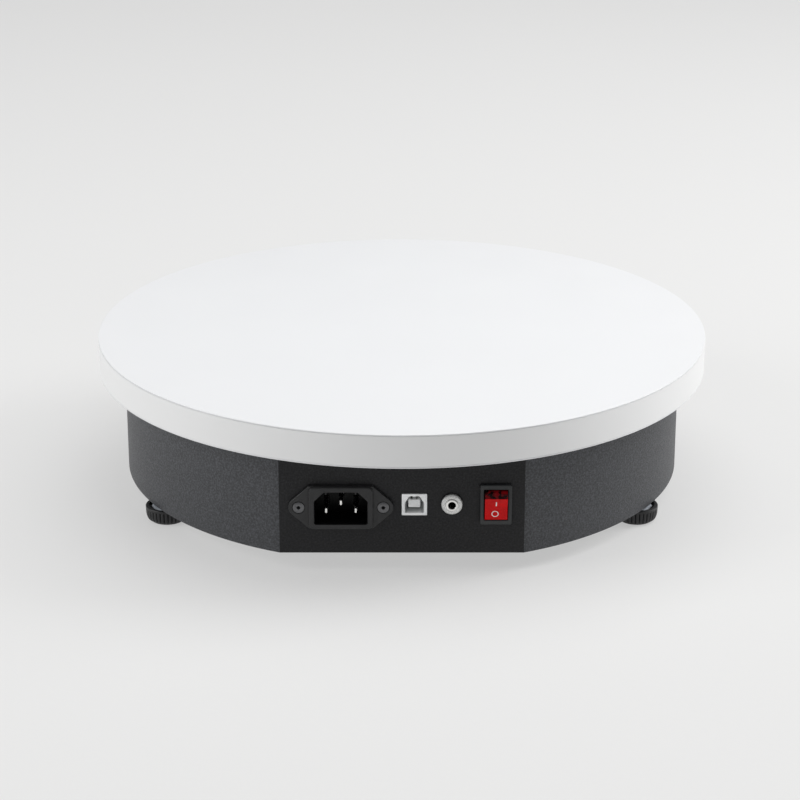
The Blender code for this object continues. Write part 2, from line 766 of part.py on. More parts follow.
def motor():
    """A square stepper motor, shaft down, cradled by a sheet bracket hung from the deck."""
    spot = at(MOTOR_X, MOTOR_Y)
    half = MOTOR_SIDE / 2
    near = half - MOTOR_CORNER
    octagon = [(half, near), (near, half), (-near, half), (-half, near), (-half, -near), (-near, -half), (near, -half),
               (half, -near)]
    shaft_top = MOTOR_LOW + MOTOR_SHAFT_REACH
    body = plate("motor_body", [octagon], MOTOR_LOW, MOTOR_HIGH, black_powder_coat(), spot)
    boss_low = MOTOR_LOW - MOTOR_BOSS_PROUD
    join(body, rod("motor_boss", MOTOR_BOSS_RADIUS, boss_low, MOTOR_LOW + GAP, frame=spot, steps=32))
    cut(body, rod("motor_shaft_bore", MOTOR_SHAFT_RADIUS + GAP, MOTOR_LOW - CUT_REACH, shaft_top + GAP, frame=spot))
    rod("motor_shaft", MOTOR_SHAFT_RADIUS, MOTOR_SHAFT_LOW, shaft_top, turned_steel(), spot)

    leg = half + MOTOR_BRACKET_CLEARANCE
    foot_end = leg + MOTOR_BRACKET_FOOT
    deck, low = DECK_UNDERSIDE - GAP, MOTOR_LOW - GAP
    strip = [(-foot_end, deck), (-leg, deck), (-leg, low), (leg, low), (leg, deck), (foot_end, deck)]
    bm = bmesh.new()
    front = [bm.verts.new((x, -MOTOR_BRACKET_HALF_WIDTH, z)) for x, z in strip]
    rear = [bm.verts.new((x, MOTOR_BRACKET_HALF_WIDTH, z)) for x, z in strip]
    for i in range(len(strip) - 1):
        bm.faces.new((front[i], front[i + 1], rear[i + 1], rear[i]))
    bracket = sheet_metal("motor_bracket", bm, MOTOR_BRACKET_THICKNESS, zinc_steel(), spot)
    hole = rod("motor_boss_hole", MOTOR_BOSS_RADIUS + GAP, low - CUT_REACH, low + CUT_REACH, frame=spot, steps=32)
    cut(bracket, hole)


# ---- drum, cover and feet ------------------------------------------------------------------------------------

def base_shell():
    """The drum: wall, flat panel and deck in one bent and welded sheet, open below."""
    bm = bmesh.new()
    bmesh.ops.create_cone(
        bm, cap_ends=True, segments=LARGE, radius1=BASE_RADIUS, radius2=BASE_RADIUS, depth=BASE_TOP - BASE_BOTTOM
    )
    bmesh.ops.translate(bm, verts=bm.verts, vec=(0, 0, (BASE_TOP + BASE_BOTTOM) / 2))
    bmesh.ops.bisect_plane(
        bm, geom=bm.verts[:] + bm.edges[:] + bm.faces[:], plane_co=(0, PANEL_Y, 0), plane_no=(0, -1, 0),
        clear_outer=True,
    )
    bmesh.ops.holes_fill(bm, edges=[edge for edge in bm.edges if edge.is_boundary])
    bmesh.ops.recalc_face_normals(bm, faces=bm.faces)
    bottom = [face for face in bm.faces if face.normal.z < -0.9]
    bmesh.ops.delete(bm, geom=bottom, context="FACES_ONLY")
    shell = sheet_metal("base_shell", bm, SHEET, black_powder_coat())

    deep, out = -CUT_REACH, CUT_REACH
    cut(
        shell,
        rod("deck_hole", DECK_HOLE_RADIUS, BASE_TOP - CUT_REACH, BASE_TOP + CUT_REACH, steps=MEDIUM),
        plate("inlet_cut_out", [rectangle(*INLET_CUT_OUT)], deep, out, frame=on_panel(INLET_AT)),
        plate("usb_cut_out", [rectangle(USB_WIDTH + 2 * GAP, USB_HEIGHT + 2 * GAP)], deep, out, frame=on_panel(USB_AT)),
        rod("jack_cut_out", JACK_CUT_OUT_RADIUS, deep, out, frame=on_panel(JACK_AT)),
        plate("switch_cut_out", [rectangle(*SWITCH_CUT_OUT)], deep, out, frame=on_panel(SWITCH_AT)),
    )
    for side, sign in (("left", -1), ("right", 1)):
        spot = (INLET_AT[0] + sign * INLET_SCREW_SPACING / 2, INLET_AT[1])
        cut(shell, rod(f"inlet_screw_{side}_cut_out", FLANGE_SCREW_PANEL_HOLE, deep, out, frame=on_panel(spot)))


def bottom_cover():
    """A flat plate inside the drum's wall, with vent slots, stud holes and screw holes."""
    holes = []
    for bearing in FOOT_BEARINGS.values():
        frame = foot_frame(bearing)
        holes.append(circle(STUD_RADIUS + STUD_HOLE_CLEARANCE, SMALL, frame.translation[:2]))
        holes.append(circle(COVER_SCREW_HOLE_RADIUS, SMALL, (frame @ Vector(COVER_SCREW_OFFSET))[:2]))
    for row in range(VENT_ROWS):
        y = VENT_CENTRE[1] + (row - (VENT_ROWS - 1) / 2) * VENT_PITCH
        holes.append(rounded_rectangle(*VENT_SLOT, VENT_SLOT[1] * 0.45, 1, (VENT_CENTRE[0], y)))
    outline = drum_outline(INNER_RADIUS - GAP, SHEET + GAP)
    plate("bottom_cover", [outline] + holes, BASE_BOTTOM, COVER_TOP, zinc_steel())


def foot(side, bearing):
    """A threaded bracket inside the drum, and the knob, stud and pad that turn in it."""
    frame = foot_frame(bearing)
    screw_frame = frame @ Matrix.Translation(COVER_SCREW_OFFSET)
    bracket = block(
        f"foot_bracket_{side}", (*BRACKET_LOW, COVER_TOP + GAP), (*BRACKET_HIGH, BRACKET_TOP), zinc_steel(), frame
    )
    cut(
        bracket,
        rod(f"foot_bracket_{side}_bore", STUD_RADIUS + GAP, 0.0, BRACKET_TOP + CUT_REACH, frame=frame),
        rod(f"foot_bracket_{side}_tap", COVER_SCREW_RADIUS + GAP, 0.0, COVER_SCREW_TIP + GAP, frame=screw_frame),
    )
    turned(
        f"cover_screw_{side}",
        [(0, COVER_SCREW_TIP), (COVER_SCREW_RADIUS, COVER_SCREW_TIP), (COVER_SCREW_RADIUS, BASE_BOTTOM - GAP),
         (COVER_SCREW_HEAD_RADIUS, BASE_BOTTOM - GAP), (0.0025, BASE_BOTTOM - 0.0016),
         (0.0013, BASE_BOTTOM - 0.0022), (0, BASE_BOTTOM - 0.0023)],
        zinc_steel(), screw_frame, steps=SMALL,
    )

    above = KNOB_HIGH + CUT_REACH
    rim = ridged(KNOB_RADIUS, KNOB_RIB_DEPTH, KNOB_RIBS)
    knob = plate(f"foot_{side}_knob", [rim], KNOB_LOW, KNOB_HIGH, black_plastic(), frame)
    cut(
        knob,
        rod(f"foot_{side}_knob_recess", KNOB_RECESS_RADIUS, KNOB_HIGH - KNOB_RECESS_DEPTH, above, frame=frame,
            steps=20),
        plate(f"foot_{side}_knob_hex", [hexagon(HEX_ACROSS_FLATS + 2 * GAP)], HEX_SEAT, above, frame=frame),
        rod(f"foot_{side}_knob_socket", PAD_RADIUS + GAP, -CUT_REACH, PAD_THICKNESS + GAP, frame=frame, steps=20),
    )
    head_low, head_high = HEX_SEAT + GAP, KNOB_HIGH - HEX_HEAD_DROP
    stud = plate(f"foot_{side}_stud", [hexagon(HEX_ACROSS_FLATS)], head_low, head_high, turned_steel(), frame)
    join(stud, rod(f"foot_{side}_stud_shank", STUD_RADIUS, (head_low + head_high) / 2, STUD_TOP, frame=frame))
    turned(
        f"foot_{side}_pad",
        [(0, PAD_THICKNESS), (PAD_RADIUS - PAD_EDGE, PAD_THICKNESS), (PAD_RADIUS, PAD_THICKNESS - PAD_EDGE),
         (PAD_RADIUS, PAD_EDGE), (PAD_RADIUS - PAD_EDGE, 0), (0, 0)],
        black_rubber(), frame, steps=20,
    )


# ---- panel fittings ------------------------------------------------------------------------------------------

def inlet():
    """A flanged mains inlet with three pins in a hooded socket."""
    spot = on_panel(INLET_AT)
    flange_high = GAP + FLANGE_THICKNESS
    hood_high = GAP + HOOD_PROUD
    floor = hood_high - CAVITY_DEPTH
    rear = floor - INLET_FLOOR_THICKNESS
    flange = lozenge(HOOD_WIDTH, INLET_HEIGHT, INLET_EAR_RADIUS, INLET_SCREW_SPACING)
    hood = rounded_rectangle(HOOD_WIDTH, INLET_HEIGHT - GAP, HOOD_CORNER)
    cavity = top_chamfered(CAVITY_WIDTH, CAVITY_HEIGHT, CAVITY_CHAMFER, CAVITY_CHAMFER)
    socket = plate("inlet_socket", [flange], GAP, flange_high, black_plastic(), spot)
    join(
        socket,
        plate("inlet_hood", [hood], 1.5 * GAP, hood_high, frame=spot),
        plate("inlet_body", [rectangle(*INLET_BODY)], rear, flange_high - GAP, frame=spot),
    )
    cut(socket, plate("inlet_cavity", [cavity], floor, hood_high + CUT_REACH, frame=spot))
    for name, (x, y) in PINS.items():
        slot = rectangle(PIN_WIDTH + 2 * GAP, PIN_HEIGHT + 2 * GAP, (x, y))
        cut(socket, plate(f"inlet_pin_{name}_slot", [slot], rear - GAP, floor + GAP, frame=spot))
        block(
            f"inlet_pin_{name}", (x - PIN_WIDTH / 2, y - PIN_HEIGHT / 2, floor - PIN_TAIL),
            (x + PIN_WIDTH / 2, y + PIN_HEIGHT / 2, hood_high - PIN_SETBACK), nickel_plate(), spot, PIN_BEVEL, 1,
        )
    for side, sign in (("left", -1), ("right", 1)):
        frame = spot @ Matrix.Translation((sign * INLET_SCREW_SPACING / 2, 0.0, 0.0))
        flange_screw(f"inlet_screw_{side}", frame, flange_high)
        cut(socket, flange_screw(f"inlet_screw_{side}_hole", frame, flange_high, GAP))


def flange_screw(name, frame, seat, grow=0.0):
    """A countersunk screw, or its hole when grown by a clearance."""
    top = seat + FLANGE_SCREW_PROUD + 4 * grow
    head, shank = FLANGE_SCREW_HEAD_RADIUS + grow, FLANGE_SCREW_RADIUS + grow
    screw = turned(
        name,
        [(0, top), (head, top), (head, seat - grow), (shank, GAP + FLANGE_SCREW_PROUD - grow),
         (shank, FLANGE_SCREW_TAIL), (0, FLANGE_SCREW_TAIL)],
        zinc_steel(), frame, steps=24,
    )
    return screw if grow else cut(screw, cross_recess(name + "_recess", frame, top))


def cross_recess(name, frame, top):
    """A cross recess, as a cutter that stands out above a screw's head."""
    long, narrow, low, high = CROSS_HALF_LENGTH, CROSS_HALF_WIDTH, top - CROSS_DEPTH, top + CROSS_DEPTH
    along = block(name, (-long, -narrow, low), (long, narrow, high), frame=frame)
    return join(along, block(name + "_across", (-narrow, -long, low), (narrow, long, high), frame=frame))


def usb_port():
    """A type B port: a metal shell, keyed at the top, with its plastic contact block."""
    spot = on_panel(USB_AT)
    width, height = USB_TONGUE
    low, high = USB_TONGUE_RISE - height / 2, USB_TONGUE_RISE + height / 2
    outline = rounded_rectangle(USB_WIDTH, USB_HEIGHT, USB_CORNER, 2)
    opening = top_chamfered(*USB_OPENING, *USB_CHAMFER)
    slot = rectangle(width + 2 * GAP, height + 2 * GAP, (0.0, USB_TONGUE_RISE))
    shell = plate("usb_shell", [outline], -USB_DEPTH, USB_PROUD, nickel_plate(), spot)
    cut(
        shell,
        plate("usb_opening", [opening], -USB_OPENING_DEPTH, CUT_REACH, frame=spot),
        plate("usb_tongue_slot", [slot], -USB_TONGUE_TAIL, -USB_OPENING_DEPTH + GAP, frame=spot),
    )
    block(
        "usb_tongue", (-width / 2, low, -USB_TONGUE_TAIL), (width / 2, high, -USB_TONGUE_SETBACK), white_plastic(), spot
    )


def jack():
    """A 3.5 mm jack: a bushing held by a knurled ring nut, with its plastic body behind the panel."""
    spot = on_panel(JACK_AT)
    proud, tail = JACK_BUSHING_PROUD, -JACK_BUSHING_TAIL
    turned(
        "jack_bushing",
        [(JACK_BUSHING_RADIUS, proud), (JACK_BUSHING_RADIUS, tail), (JACK_BORE_RADIUS, tail),
         (JACK_BORE_RADIUS, proud - JACK_BORE_CHAMFER), (JACK_BORE_RADIUS + JACK_BORE_CHAMFER, proud)],
        nickel_plate(), spot, steps=24, ring=True,
    )
    rim = ridged(JACK_NUT_RADIUS, JACK_NUT_RIDGE_DEPTH, JACK_NUT_RIDGES)
    plate("jack_nut", [rim, circle(JACK_BUSHING_RADIUS + GAP)], GAP, JACK_NUT_PROUD, nickel_plate(), spot)
    x, y = JACK_BODY_WIDTH / 2, JACK_BODY_HEIGHT / 2
    body = block("jack_body", (-x, -y, -JACK_BODY_BACK), (x, y, -SHEET - GAP), black_plastic(), spot)
    cut(
        body,
        rod("jack_body_seat", JACK_BUSHING_RADIUS + GAP, tail - GAP, 0.0, frame=spot),
        rod("jack_body_bore", JACK_BORE_RADIUS, -JACK_BORE_DEPTH, 0.0, frame=spot),
    )


def switch():
    """The switch's frame, with its body behind the panel, and the rocker on its pivot."""
    spot = on_panel(SWITCH_AT)
    bezel = rounded_rectangle(BEZEL_WIDTH, BEZEL_HEIGHT, BEZEL_CORNER, 3)
    surround = plate("switch_frame", [bezel], GAP, BEZEL_PROUD, black_plastic(), spot)
    join(surround, plate("switch_body", [rectangle(*SWITCH_BODY)], -SWITCH_BODY_BACK, BEZEL_PROUD / 2, frame=spot))
    window = rectangle(WINDOW_WIDTH, WINDOW_HEIGHT)
    cut(surround, plate("switch_window", [window], -WINDOW_DEPTH, CUT_REACH, frame=spot))

    # the rocker's profile is drawn with x out of the panel and y up, and then turned to stand
    face = ROCKER_RADIUS * math.cos(math.radians(ROCKER_HALF_ANGLE))
    length, width = ROCKER_STEM
    upper = arc(ROCKER_RADIUS, ROCKER_HALF_ANGLE, ROCKER_BACK_ANGLE, 6)
    lower = arc(ROCKER_RADIUS, -ROCKER_BACK_ANGLE, -ROCKER_HALF_ANGLE, 6)
    profile = upper + [(-length, width / 2), (-length, -width / 2)] + lower + [(face - ROCKER_DISH, 0.0)]
    pivot = spot @ Matrix.Translation((0, 0, BEZEL_PROUD - ROCKER_PIVOT_DEPTH))
    stand = Matrix(((0, 0, -1, 0), (0, 1, 0, 0), (1, 0, 0, 0), (0, 0, 0, 1)))
    lean = Matrix.Rotation(-math.radians(ROCKER_TILT), 4, "Z")
    plate("rocker_button", [profile], -ROCKER_WIDTH / 2, ROCKER_WIDTH / 2, red_plastic(), pivot @ stand @ lean)


# ---- electronics inside --------------------------------------------------------------------------------------

def electronics():
    """The power supply, and the control board on its two standoffs."""
    block("power_supply", SUPPLY_LOW, SUPPLY_HIGH, zinc_steel(), bevel=SUPPLY_EDGE)
    holes = [circle(STANDOFF_HOLE_RADIUS, SMALL, spot) for spot in BOARD_STANDOFFS.values()]
    plate("control_board", [rectangle(*BOARD_SIZE, BOARD_CENTRE)] + holes, BOARD_LOW, BOARD_HIGH, circuit_green())
    for side, spot in BOARD_STANDOFFS.items():
        turned(
            f"board_standoff_{side}",
            [(0, STANDOFF_HEAD_HIGH), (STANDOFF_HEAD_RADIUS, STANDOFF_HEAD_HIGH),
             (STANDOFF_HEAD_RADIUS, BOARD_HIGH + GAP), (STANDOFF_NECK_RADIUS, BOARD_HIGH + GAP),
             (STANDOFF_NECK_RADIUS, BOARD_LOW - GAP), (STANDOFF_RADIUS, BOARD_LOW - GAP),
             (STANDOFF_RADIUS, COVER_TOP + GAP), (0, COVER_TOP + GAP)],
            nickel_plate(), at(*spot), steps=SMALL,
        )


def cables():
    """Each cable runs freely through its own places and stops a clearance short of what it feeds."""
    cable("mains_cable", [
        (-0.0348, -0.1026, 0.0360), (-0.0400, -0.0936, 0.0400), (-0.0560, -0.0816, 0.0440), (-0.0700, -0.0700, 0.0440),
        (-0.0740, -0.0667, 0.0330),
    ], 0.0016, black_rubber())
    cable("supply_cable", [
        (-0.0493, -0.0200, 0.0300), (-0.0450, -0.0202, 0.0300), (-0.0360, -0.0500, 0.0310), (-0.0200, -0.0720, 0.0320),
        (-0.0050, -0.0850, 0.0335), (-0.0005, -0.0900, 0.0300),
    ], 0.0012, red_plastic())
    cable("motor_cable", [
        (0.0100, 0.0500, 0.0400), (0.0112, 0.0440, 0.0400), (0.0340, 0.0320, 0.0410), (0.0460, 0.0020, 0.0410),
        (0.0450, -0.0400, 0.0400), (0.0350, -0.0700, 0.0370), (0.0250, -0.0800, 0.0310),
    ], 0.0014, black_rubber())


def build():
    clear_scene()
    platter()
    bearings()
    spindle()
    pulleys()
    belt()
    motor()
    base_shell()
    bottom_cover()
    for side, bearing in FOOT_BEARINGS.items():
        foot(side, bearing)
    inlet()
    usb_port()
    jack()
    switch()
    electronics()
    cables()


build()
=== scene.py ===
"""The motorised photography turntable, dressed for a studio picture.

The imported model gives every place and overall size. Detailed pieces stand in for the nodes that can be
seen from outside, and the nodes inside the drum keep their own shape and get procedural materials.
"""

import json
import math

import bmesh
import bpy
from mathutils import Matrix, Vector


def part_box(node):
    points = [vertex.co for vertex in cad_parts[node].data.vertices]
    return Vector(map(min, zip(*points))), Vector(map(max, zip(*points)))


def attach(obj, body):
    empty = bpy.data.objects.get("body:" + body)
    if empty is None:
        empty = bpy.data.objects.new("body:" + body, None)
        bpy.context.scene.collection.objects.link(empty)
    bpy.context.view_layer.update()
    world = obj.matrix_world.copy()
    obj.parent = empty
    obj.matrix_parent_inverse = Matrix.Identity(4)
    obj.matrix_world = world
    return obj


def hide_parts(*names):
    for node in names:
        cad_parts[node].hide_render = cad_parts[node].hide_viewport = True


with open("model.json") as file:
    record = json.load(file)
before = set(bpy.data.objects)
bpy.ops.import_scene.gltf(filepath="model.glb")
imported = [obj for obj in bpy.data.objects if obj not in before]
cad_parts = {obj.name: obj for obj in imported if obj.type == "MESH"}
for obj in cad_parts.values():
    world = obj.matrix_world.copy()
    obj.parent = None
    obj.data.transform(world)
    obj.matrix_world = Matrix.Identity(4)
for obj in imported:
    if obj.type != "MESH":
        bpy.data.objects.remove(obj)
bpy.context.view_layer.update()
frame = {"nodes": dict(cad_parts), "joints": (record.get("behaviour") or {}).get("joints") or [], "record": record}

MM = 0.001
NOTHING = 1e-9          # a length under this counts as none
node_slot = {row["node"]: row["material_slot"] for row in frame["record"]["subparts"]}
joints = {joint["name"]: joint for joint in frame["joints"]}


# ---- material nodes -------------------------------------------------------------------------

class Shader:
    """A Principled material whose colour, roughness and bump come from procedural textures in metres."""

    def __init__(self, name, colour, roughness, metallic=0.0, **sockets):
        self.material = bpy.data.materials.new(name)
        self.material.use_nodes = True
        self.tree = self.material.node_tree
        self.principled = self.tree.nodes["Principled BSDF"]
        self.principled.inputs["Base Color"].default_value = (*colour, 1.0)
        self.principled.inputs["Roughness"].default_value = roughness
        self.principled.inputs["Metallic"].default_value = metallic
        for socket, value in sockets.items():
            self.principled.inputs[socket.replace("_", " ")].default_value = value
        self.coordinates = self.tree.nodes.new("ShaderNodeTexCoord").outputs["Object"]
        self.normal = None

    def node(self, kind, **values):
        made = self.tree.nodes.new(kind)
        for key, value in values.items():
            setattr(made, key, value)
        return made

    def link(self, output, socket):
        self.tree.links.new(output, socket)

    def stretched(self, scale):
        """The coordinates scaled by a factor on each axis."""
        mapping = self.node("ShaderNodeMapping")
        mapping.inputs["Scale"].default_value = scale
        self.link(self.coordinates, mapping.inputs["Vector"])
        return mapping.outputs["Vector"]

    def noise(self, size, detail=3.0, roughness=0.55, vector=None):
        """Noise whose features are about this size, in metres."""
        made = self.node("ShaderNodeTexNoise")
        made.inputs["Scale"].default_value = 1.0 / size
        made.inputs["Detail"].default_value = detail
        made.inputs["Roughness"].default_value = roughness
        self.link(vector or self.coordinates, made.inputs["Vector"])
        return made.outputs["Fac"]

    def cells(self, size, output="Distance"):
        """Cells of about this size, in metres."""
        made = self.node("ShaderNodeTexVoronoi")
        made.inputs["Scale"].default_value = 1.0 / size
        self.link(self.coordinates, made.inputs["Vector"])
        return made.outputs[output]

    def ramp(self, factor, stops):
        """A colour ramp of (position, colour) stops."""
        made = self.node("ShaderNodeValToRGB")
        elements = made.color_ramp.elements
        while len(elements) < len(stops):
            elements.new(0.5)
        for element, (position, colour) in zip(elements, stops):
            element.position = position
            element.color = (*colour, 1.0)
        self.link(factor, made.inputs["Fac"])
        return made.outputs["Color"]

    def spread(self, factor, low, high, start=0.35, end=0.65):
        """The factor from start to end mapped to low to high."""
        made = self.node("ShaderNodeMapRange")
        for socket, value in (("From Min", start), ("From Max", end), ("To Min", low), ("To Max", high)):
            made.inputs[socket].default_value = value
        self.link(factor, made.inputs["Value"])
        return made.outputs["Result"]

    def mixed(self, factor, first, second):
        """A colour mix, where each of the two is a colour or an output."""
        made = self.node("ShaderNodeMix", data_type="RGBA")
        self.link(factor, made.inputs["Factor"])
        # the node's colour sockets: 6 and 7 in, 2 out
        for socket, value in ((made.inputs[6], first), (made.inputs[7], second)):
            if isinstance(value, tuple):
                socket.default_value = (*value, 1.0)
            else:
                self.link(value, socket)
        return made.outputs[2]

    def colour(self, output):
        self.link(output, self.principled.inputs["Base Color"])

    def roughness(self, output):
        self.link(output, self.principled.inputs["Roughness"])

    def bump(self, output, height, strength=1.0):
        """Adds a bump of this height in metres."""
        made = self.node("ShaderNodeBump")
        made.inputs["Distance"].default_value = height
        made.inputs["Strength"].default_value = strength
        self.link(output, made.inputs["Height"])
        if self.normal is not None:
            self.link(self.normal, made.inputs["Normal"])
        self.normal = made.outputs["Normal"]
        self.link(self.normal, self.principled.inputs["Normal"])


def tint(colour, factor):
    """The colour made darker or lighter by a factor."""
    return tuple(min(1.0, channel * factor) for channel in colour)


def laminate(name, colour):
    """Smooth satin laminate: a faint orange peel, and soft smears in the gloss."""
    shader = Shader(name, colour, 0.36, Specular_IOR_Level=0.4)
    cloudy = shader.noise(0.060, 4.0)
    shader.colour(shader.ramp(cloudy, [(0.3, tint(colour, 0.995)), (0.7, tint(colour, 1.005))]))
    shader.roughness(shader.spread(shader.noise(0.022, 5.0), 0.345, 0.375))
    shader.bump(shader.noise(0.0011, 2.0), 0.000010)
    return shader.material


def powder_coat(name, colour=(0.042, 0.044, 0.049), specular=0.5):
    """Black textured powder coat: fine pebbles, with a few bright specks."""
    shader = Shader(name, colour, 0.50, Specular_IOR_Level=specular)
    pebbles = shader.noise(0.00055, 3.0, 0.6)
    mottle = shader.noise(0.0009, 2.5, 0.6)
    specks = shader.cells(0.0016)
    body = shader.ramp(mottle, [(0.34, tint(colour, 0.60)), (0.50, colour), (0.66, tint(colour, 1.70))])
    bright = shader.spread(specks, 0.55, 0.0, 0.05, 0.10)
    shader.colour(shader.mixed(bright, body, tint(colour, 3.0)))
    shader.roughness(shader.spread(pebbles, 0.42, 0.60))
    shader.bump(mottle, 0.00016, 0.8)
    shader.bump(pebbles, 0.00012, 0.8)
    shader.bump(shader.noise(0.0045, 2.0), 0.00006, 0.6)
    return shader.material


def moulded(name, colour, roughness=0.42, grain=0.00035, depth=0.000020, **sockets):
    """Moulded plastic with a fine spark-eroded grain and slightly uneven gloss."""
    shader = Shader(name, colour, roughness, **sockets)
    uneven = shader.noise(0.0040, 3.0)
    shader.colour(shader.ramp(uneven, [(0.3, tint(colour, 0.9)), (0.7, tint(colour, 1.12))]))
    shader.roughness(shader.spread(shader.noise(0.0022, 4.0), roughness - 0.06, roughness + 0.07))
    shader.bump(shader.noise(grain, 2.0), depth)
    return shader.material


def metal(name, colour, roughness, grain=(1.0, 1.0, 0.04), size=0.00035, depth=0.000006, metallic=1.0):
    """Machined or drawn metal: fine lines across the long axis of the grain, and dull patches."""
    shader = Shader(name, colour, roughness, metallic)
    lines = shader.noise(size, 3.0, 0.6, shader.stretched(grain))
    patches = shader.noise(0.0060, 4.0)
    shader.colour(shader.ramp(patches, [(0.3, tint(colour, 0.86)), (0.7, tint(colour, 1.06))]))
    shader.roughness(shader.spread(lines, roughness - 0.07, roughness + 0.12))
    shader.bump(lines, depth)
    return shader.material


def zinc(name, colour=(0.56, 0.57, 0.58), roughness=0.36, metallic=0.95):
    """Zinc plate: spangled patches of slightly different grey."""
    shader = Shader(name, colour, roughness, metallic)
    spangle = shader.cells(0.0045, "Color")
    separate = shader.node("ShaderNodeSeparateColor")
    shader.link(spangle, separate.inputs["Color"])
    level = separate.outputs["Red"]
    shader.colour(shader.ramp(level, [(0.0, tint(colour, 0.94)), (1.0, tint(colour, 1.05))]))
    shader.roughness(shader.spread(level, roughness - 0.02, roughness + 0.05, 0.0, 1.0))
    shader.bump(shader.noise(0.0012, 3.0), 0.000012)
    return shader.material


def cast_nickel(name, colour=(0.72, 0.72, 0.71)):
    """Bead-blasted nickel plate, bright but broken up by small pits."""
    shader = Shader(name, colour, 0.36, 0.75)
    pits = shader.noise(0.00040, 3.0, 0.7)
    shader.colour(shader.ramp(pits, [(0.32, tint(colour, 0.68)), (0.55, colour), (0.75, tint(colour, 1.15))]))
    shader.roughness(shader.spread(pits, 0.55, 0.30))
    shader.bump(pits, 0.00006)
    return shader.material


def red_glow_plastic(name, colour=(0.60, 0.004, 0.005)):
    """Translucent red switch plastic over a dark inside."""
    shader = Shader(name, colour, 0.30, Specular_IOR_Level=0.12)
    clouds = shader.noise(0.0035, 3.0)
    shader.colour(shader.ramp(clouds, [(0.25, tint(colour, 0.80)), (0.75, tint(colour, 1.15))]))
    shader.roughness(shader.spread(shader.noise(0.0015, 3.0), 0.20, 0.30))
    shader.bump(shader.noise(0.0006, 2.0), 0.000010)
    return shader.material


def red_plastic_painted_shade(name, colour=(0.16, 0.004, 0.006)):
    """The same red plastic darkened as painted shade: patches of painted shadow and of red."""
    shader = Shader(name, colour, 0.16, Specular_IOR_Level=0.12)
    patches = shader.noise(0.0024, 1.5)
    # the ramp runs from painted shadow, nearly black, to a shaded red
    shader.colour(shader.ramp(patches, [(0.44, (0.010, 0.0005, 0.001)), (0.60, (0.24, 0.004, 0.007))]))
    shader.roughness(shader.spread(shader.noise(0.0012, 3.0), 0.12, 0.22))
    shader.bump(shader.noise(0.0008, 2.0), 0.000008)
    return shader.material


def rubber(name, colour=(0.018, 0.018, 0.018)):
    """Dull black rubber with a rough grain."""
    shader = Shader(name, colour, 0.82, Specular_IOR_Level=0.3)
    grain = shader.noise(0.00045, 4.0, 0.65)
    shader.colour(shader.ramp(grain, [(0.3, tint(colour, 0.7)), (0.7, tint(colour, 1.6))]))
    shader.roughness(shader.spread(grain, 0.74, 0.92))
    shader.bump(grain, 0.00005)
    return shader.material


def wood_fibre(name, colour=(0.42, 0.29, 0.17)):
    """Fibreboard: matted fibres, coarse specks of dark and light."""
    shader = Shader(name, colour, 0.88)
    fibres = shader.noise(0.0009, 6.0, 0.7, shader.stretched((1.0, 1.0, 3.0)))
    shader.colour(shader.ramp(fibres, [(0.3, tint(colour, 0.62)), (0.5, colour), (0.7, tint(colour, 1.35))]))
    shader.roughness(shader.spread(fibres, 0.80, 0.95))
    shader.bump(fibres, 0.00012)
    return shader.material


def circuit_board(name, colour=(0.012, 0.13, 0.05)):
    """Solder mask over copper tracks."""
    shader = Shader(name, colour, 0.32, Coat_Weight=0.4, Coat_Roughness=0.2)
    bricks = shader.node("ShaderNodeTexBrick", offset=0.37, squash=1.6)
    bricks.inputs["Scale"].default_value = 260.0
    bricks.inputs["Mortar Size"].default_value = 0.012
    bricks.inputs["Color1"].default_value = (*colour, 1.0)
    bricks.inputs["Color2"].default_value = (*tint(colour, 0.8), 1.0)
    bricks.inputs["Mortar"].default_value = (*tint(colour, 1.9), 1.0)
    shader.link(shader.coordinates, bricks.inputs["Vector"])
    shader.colour(bricks.outputs["Color"])
    shader.roughness(shader.spread(shader.noise(0.004, 3.0), 0.26, 0.40))
    shader.bump(bricks.outputs["Fac"], 0.00004)
    return shader.material


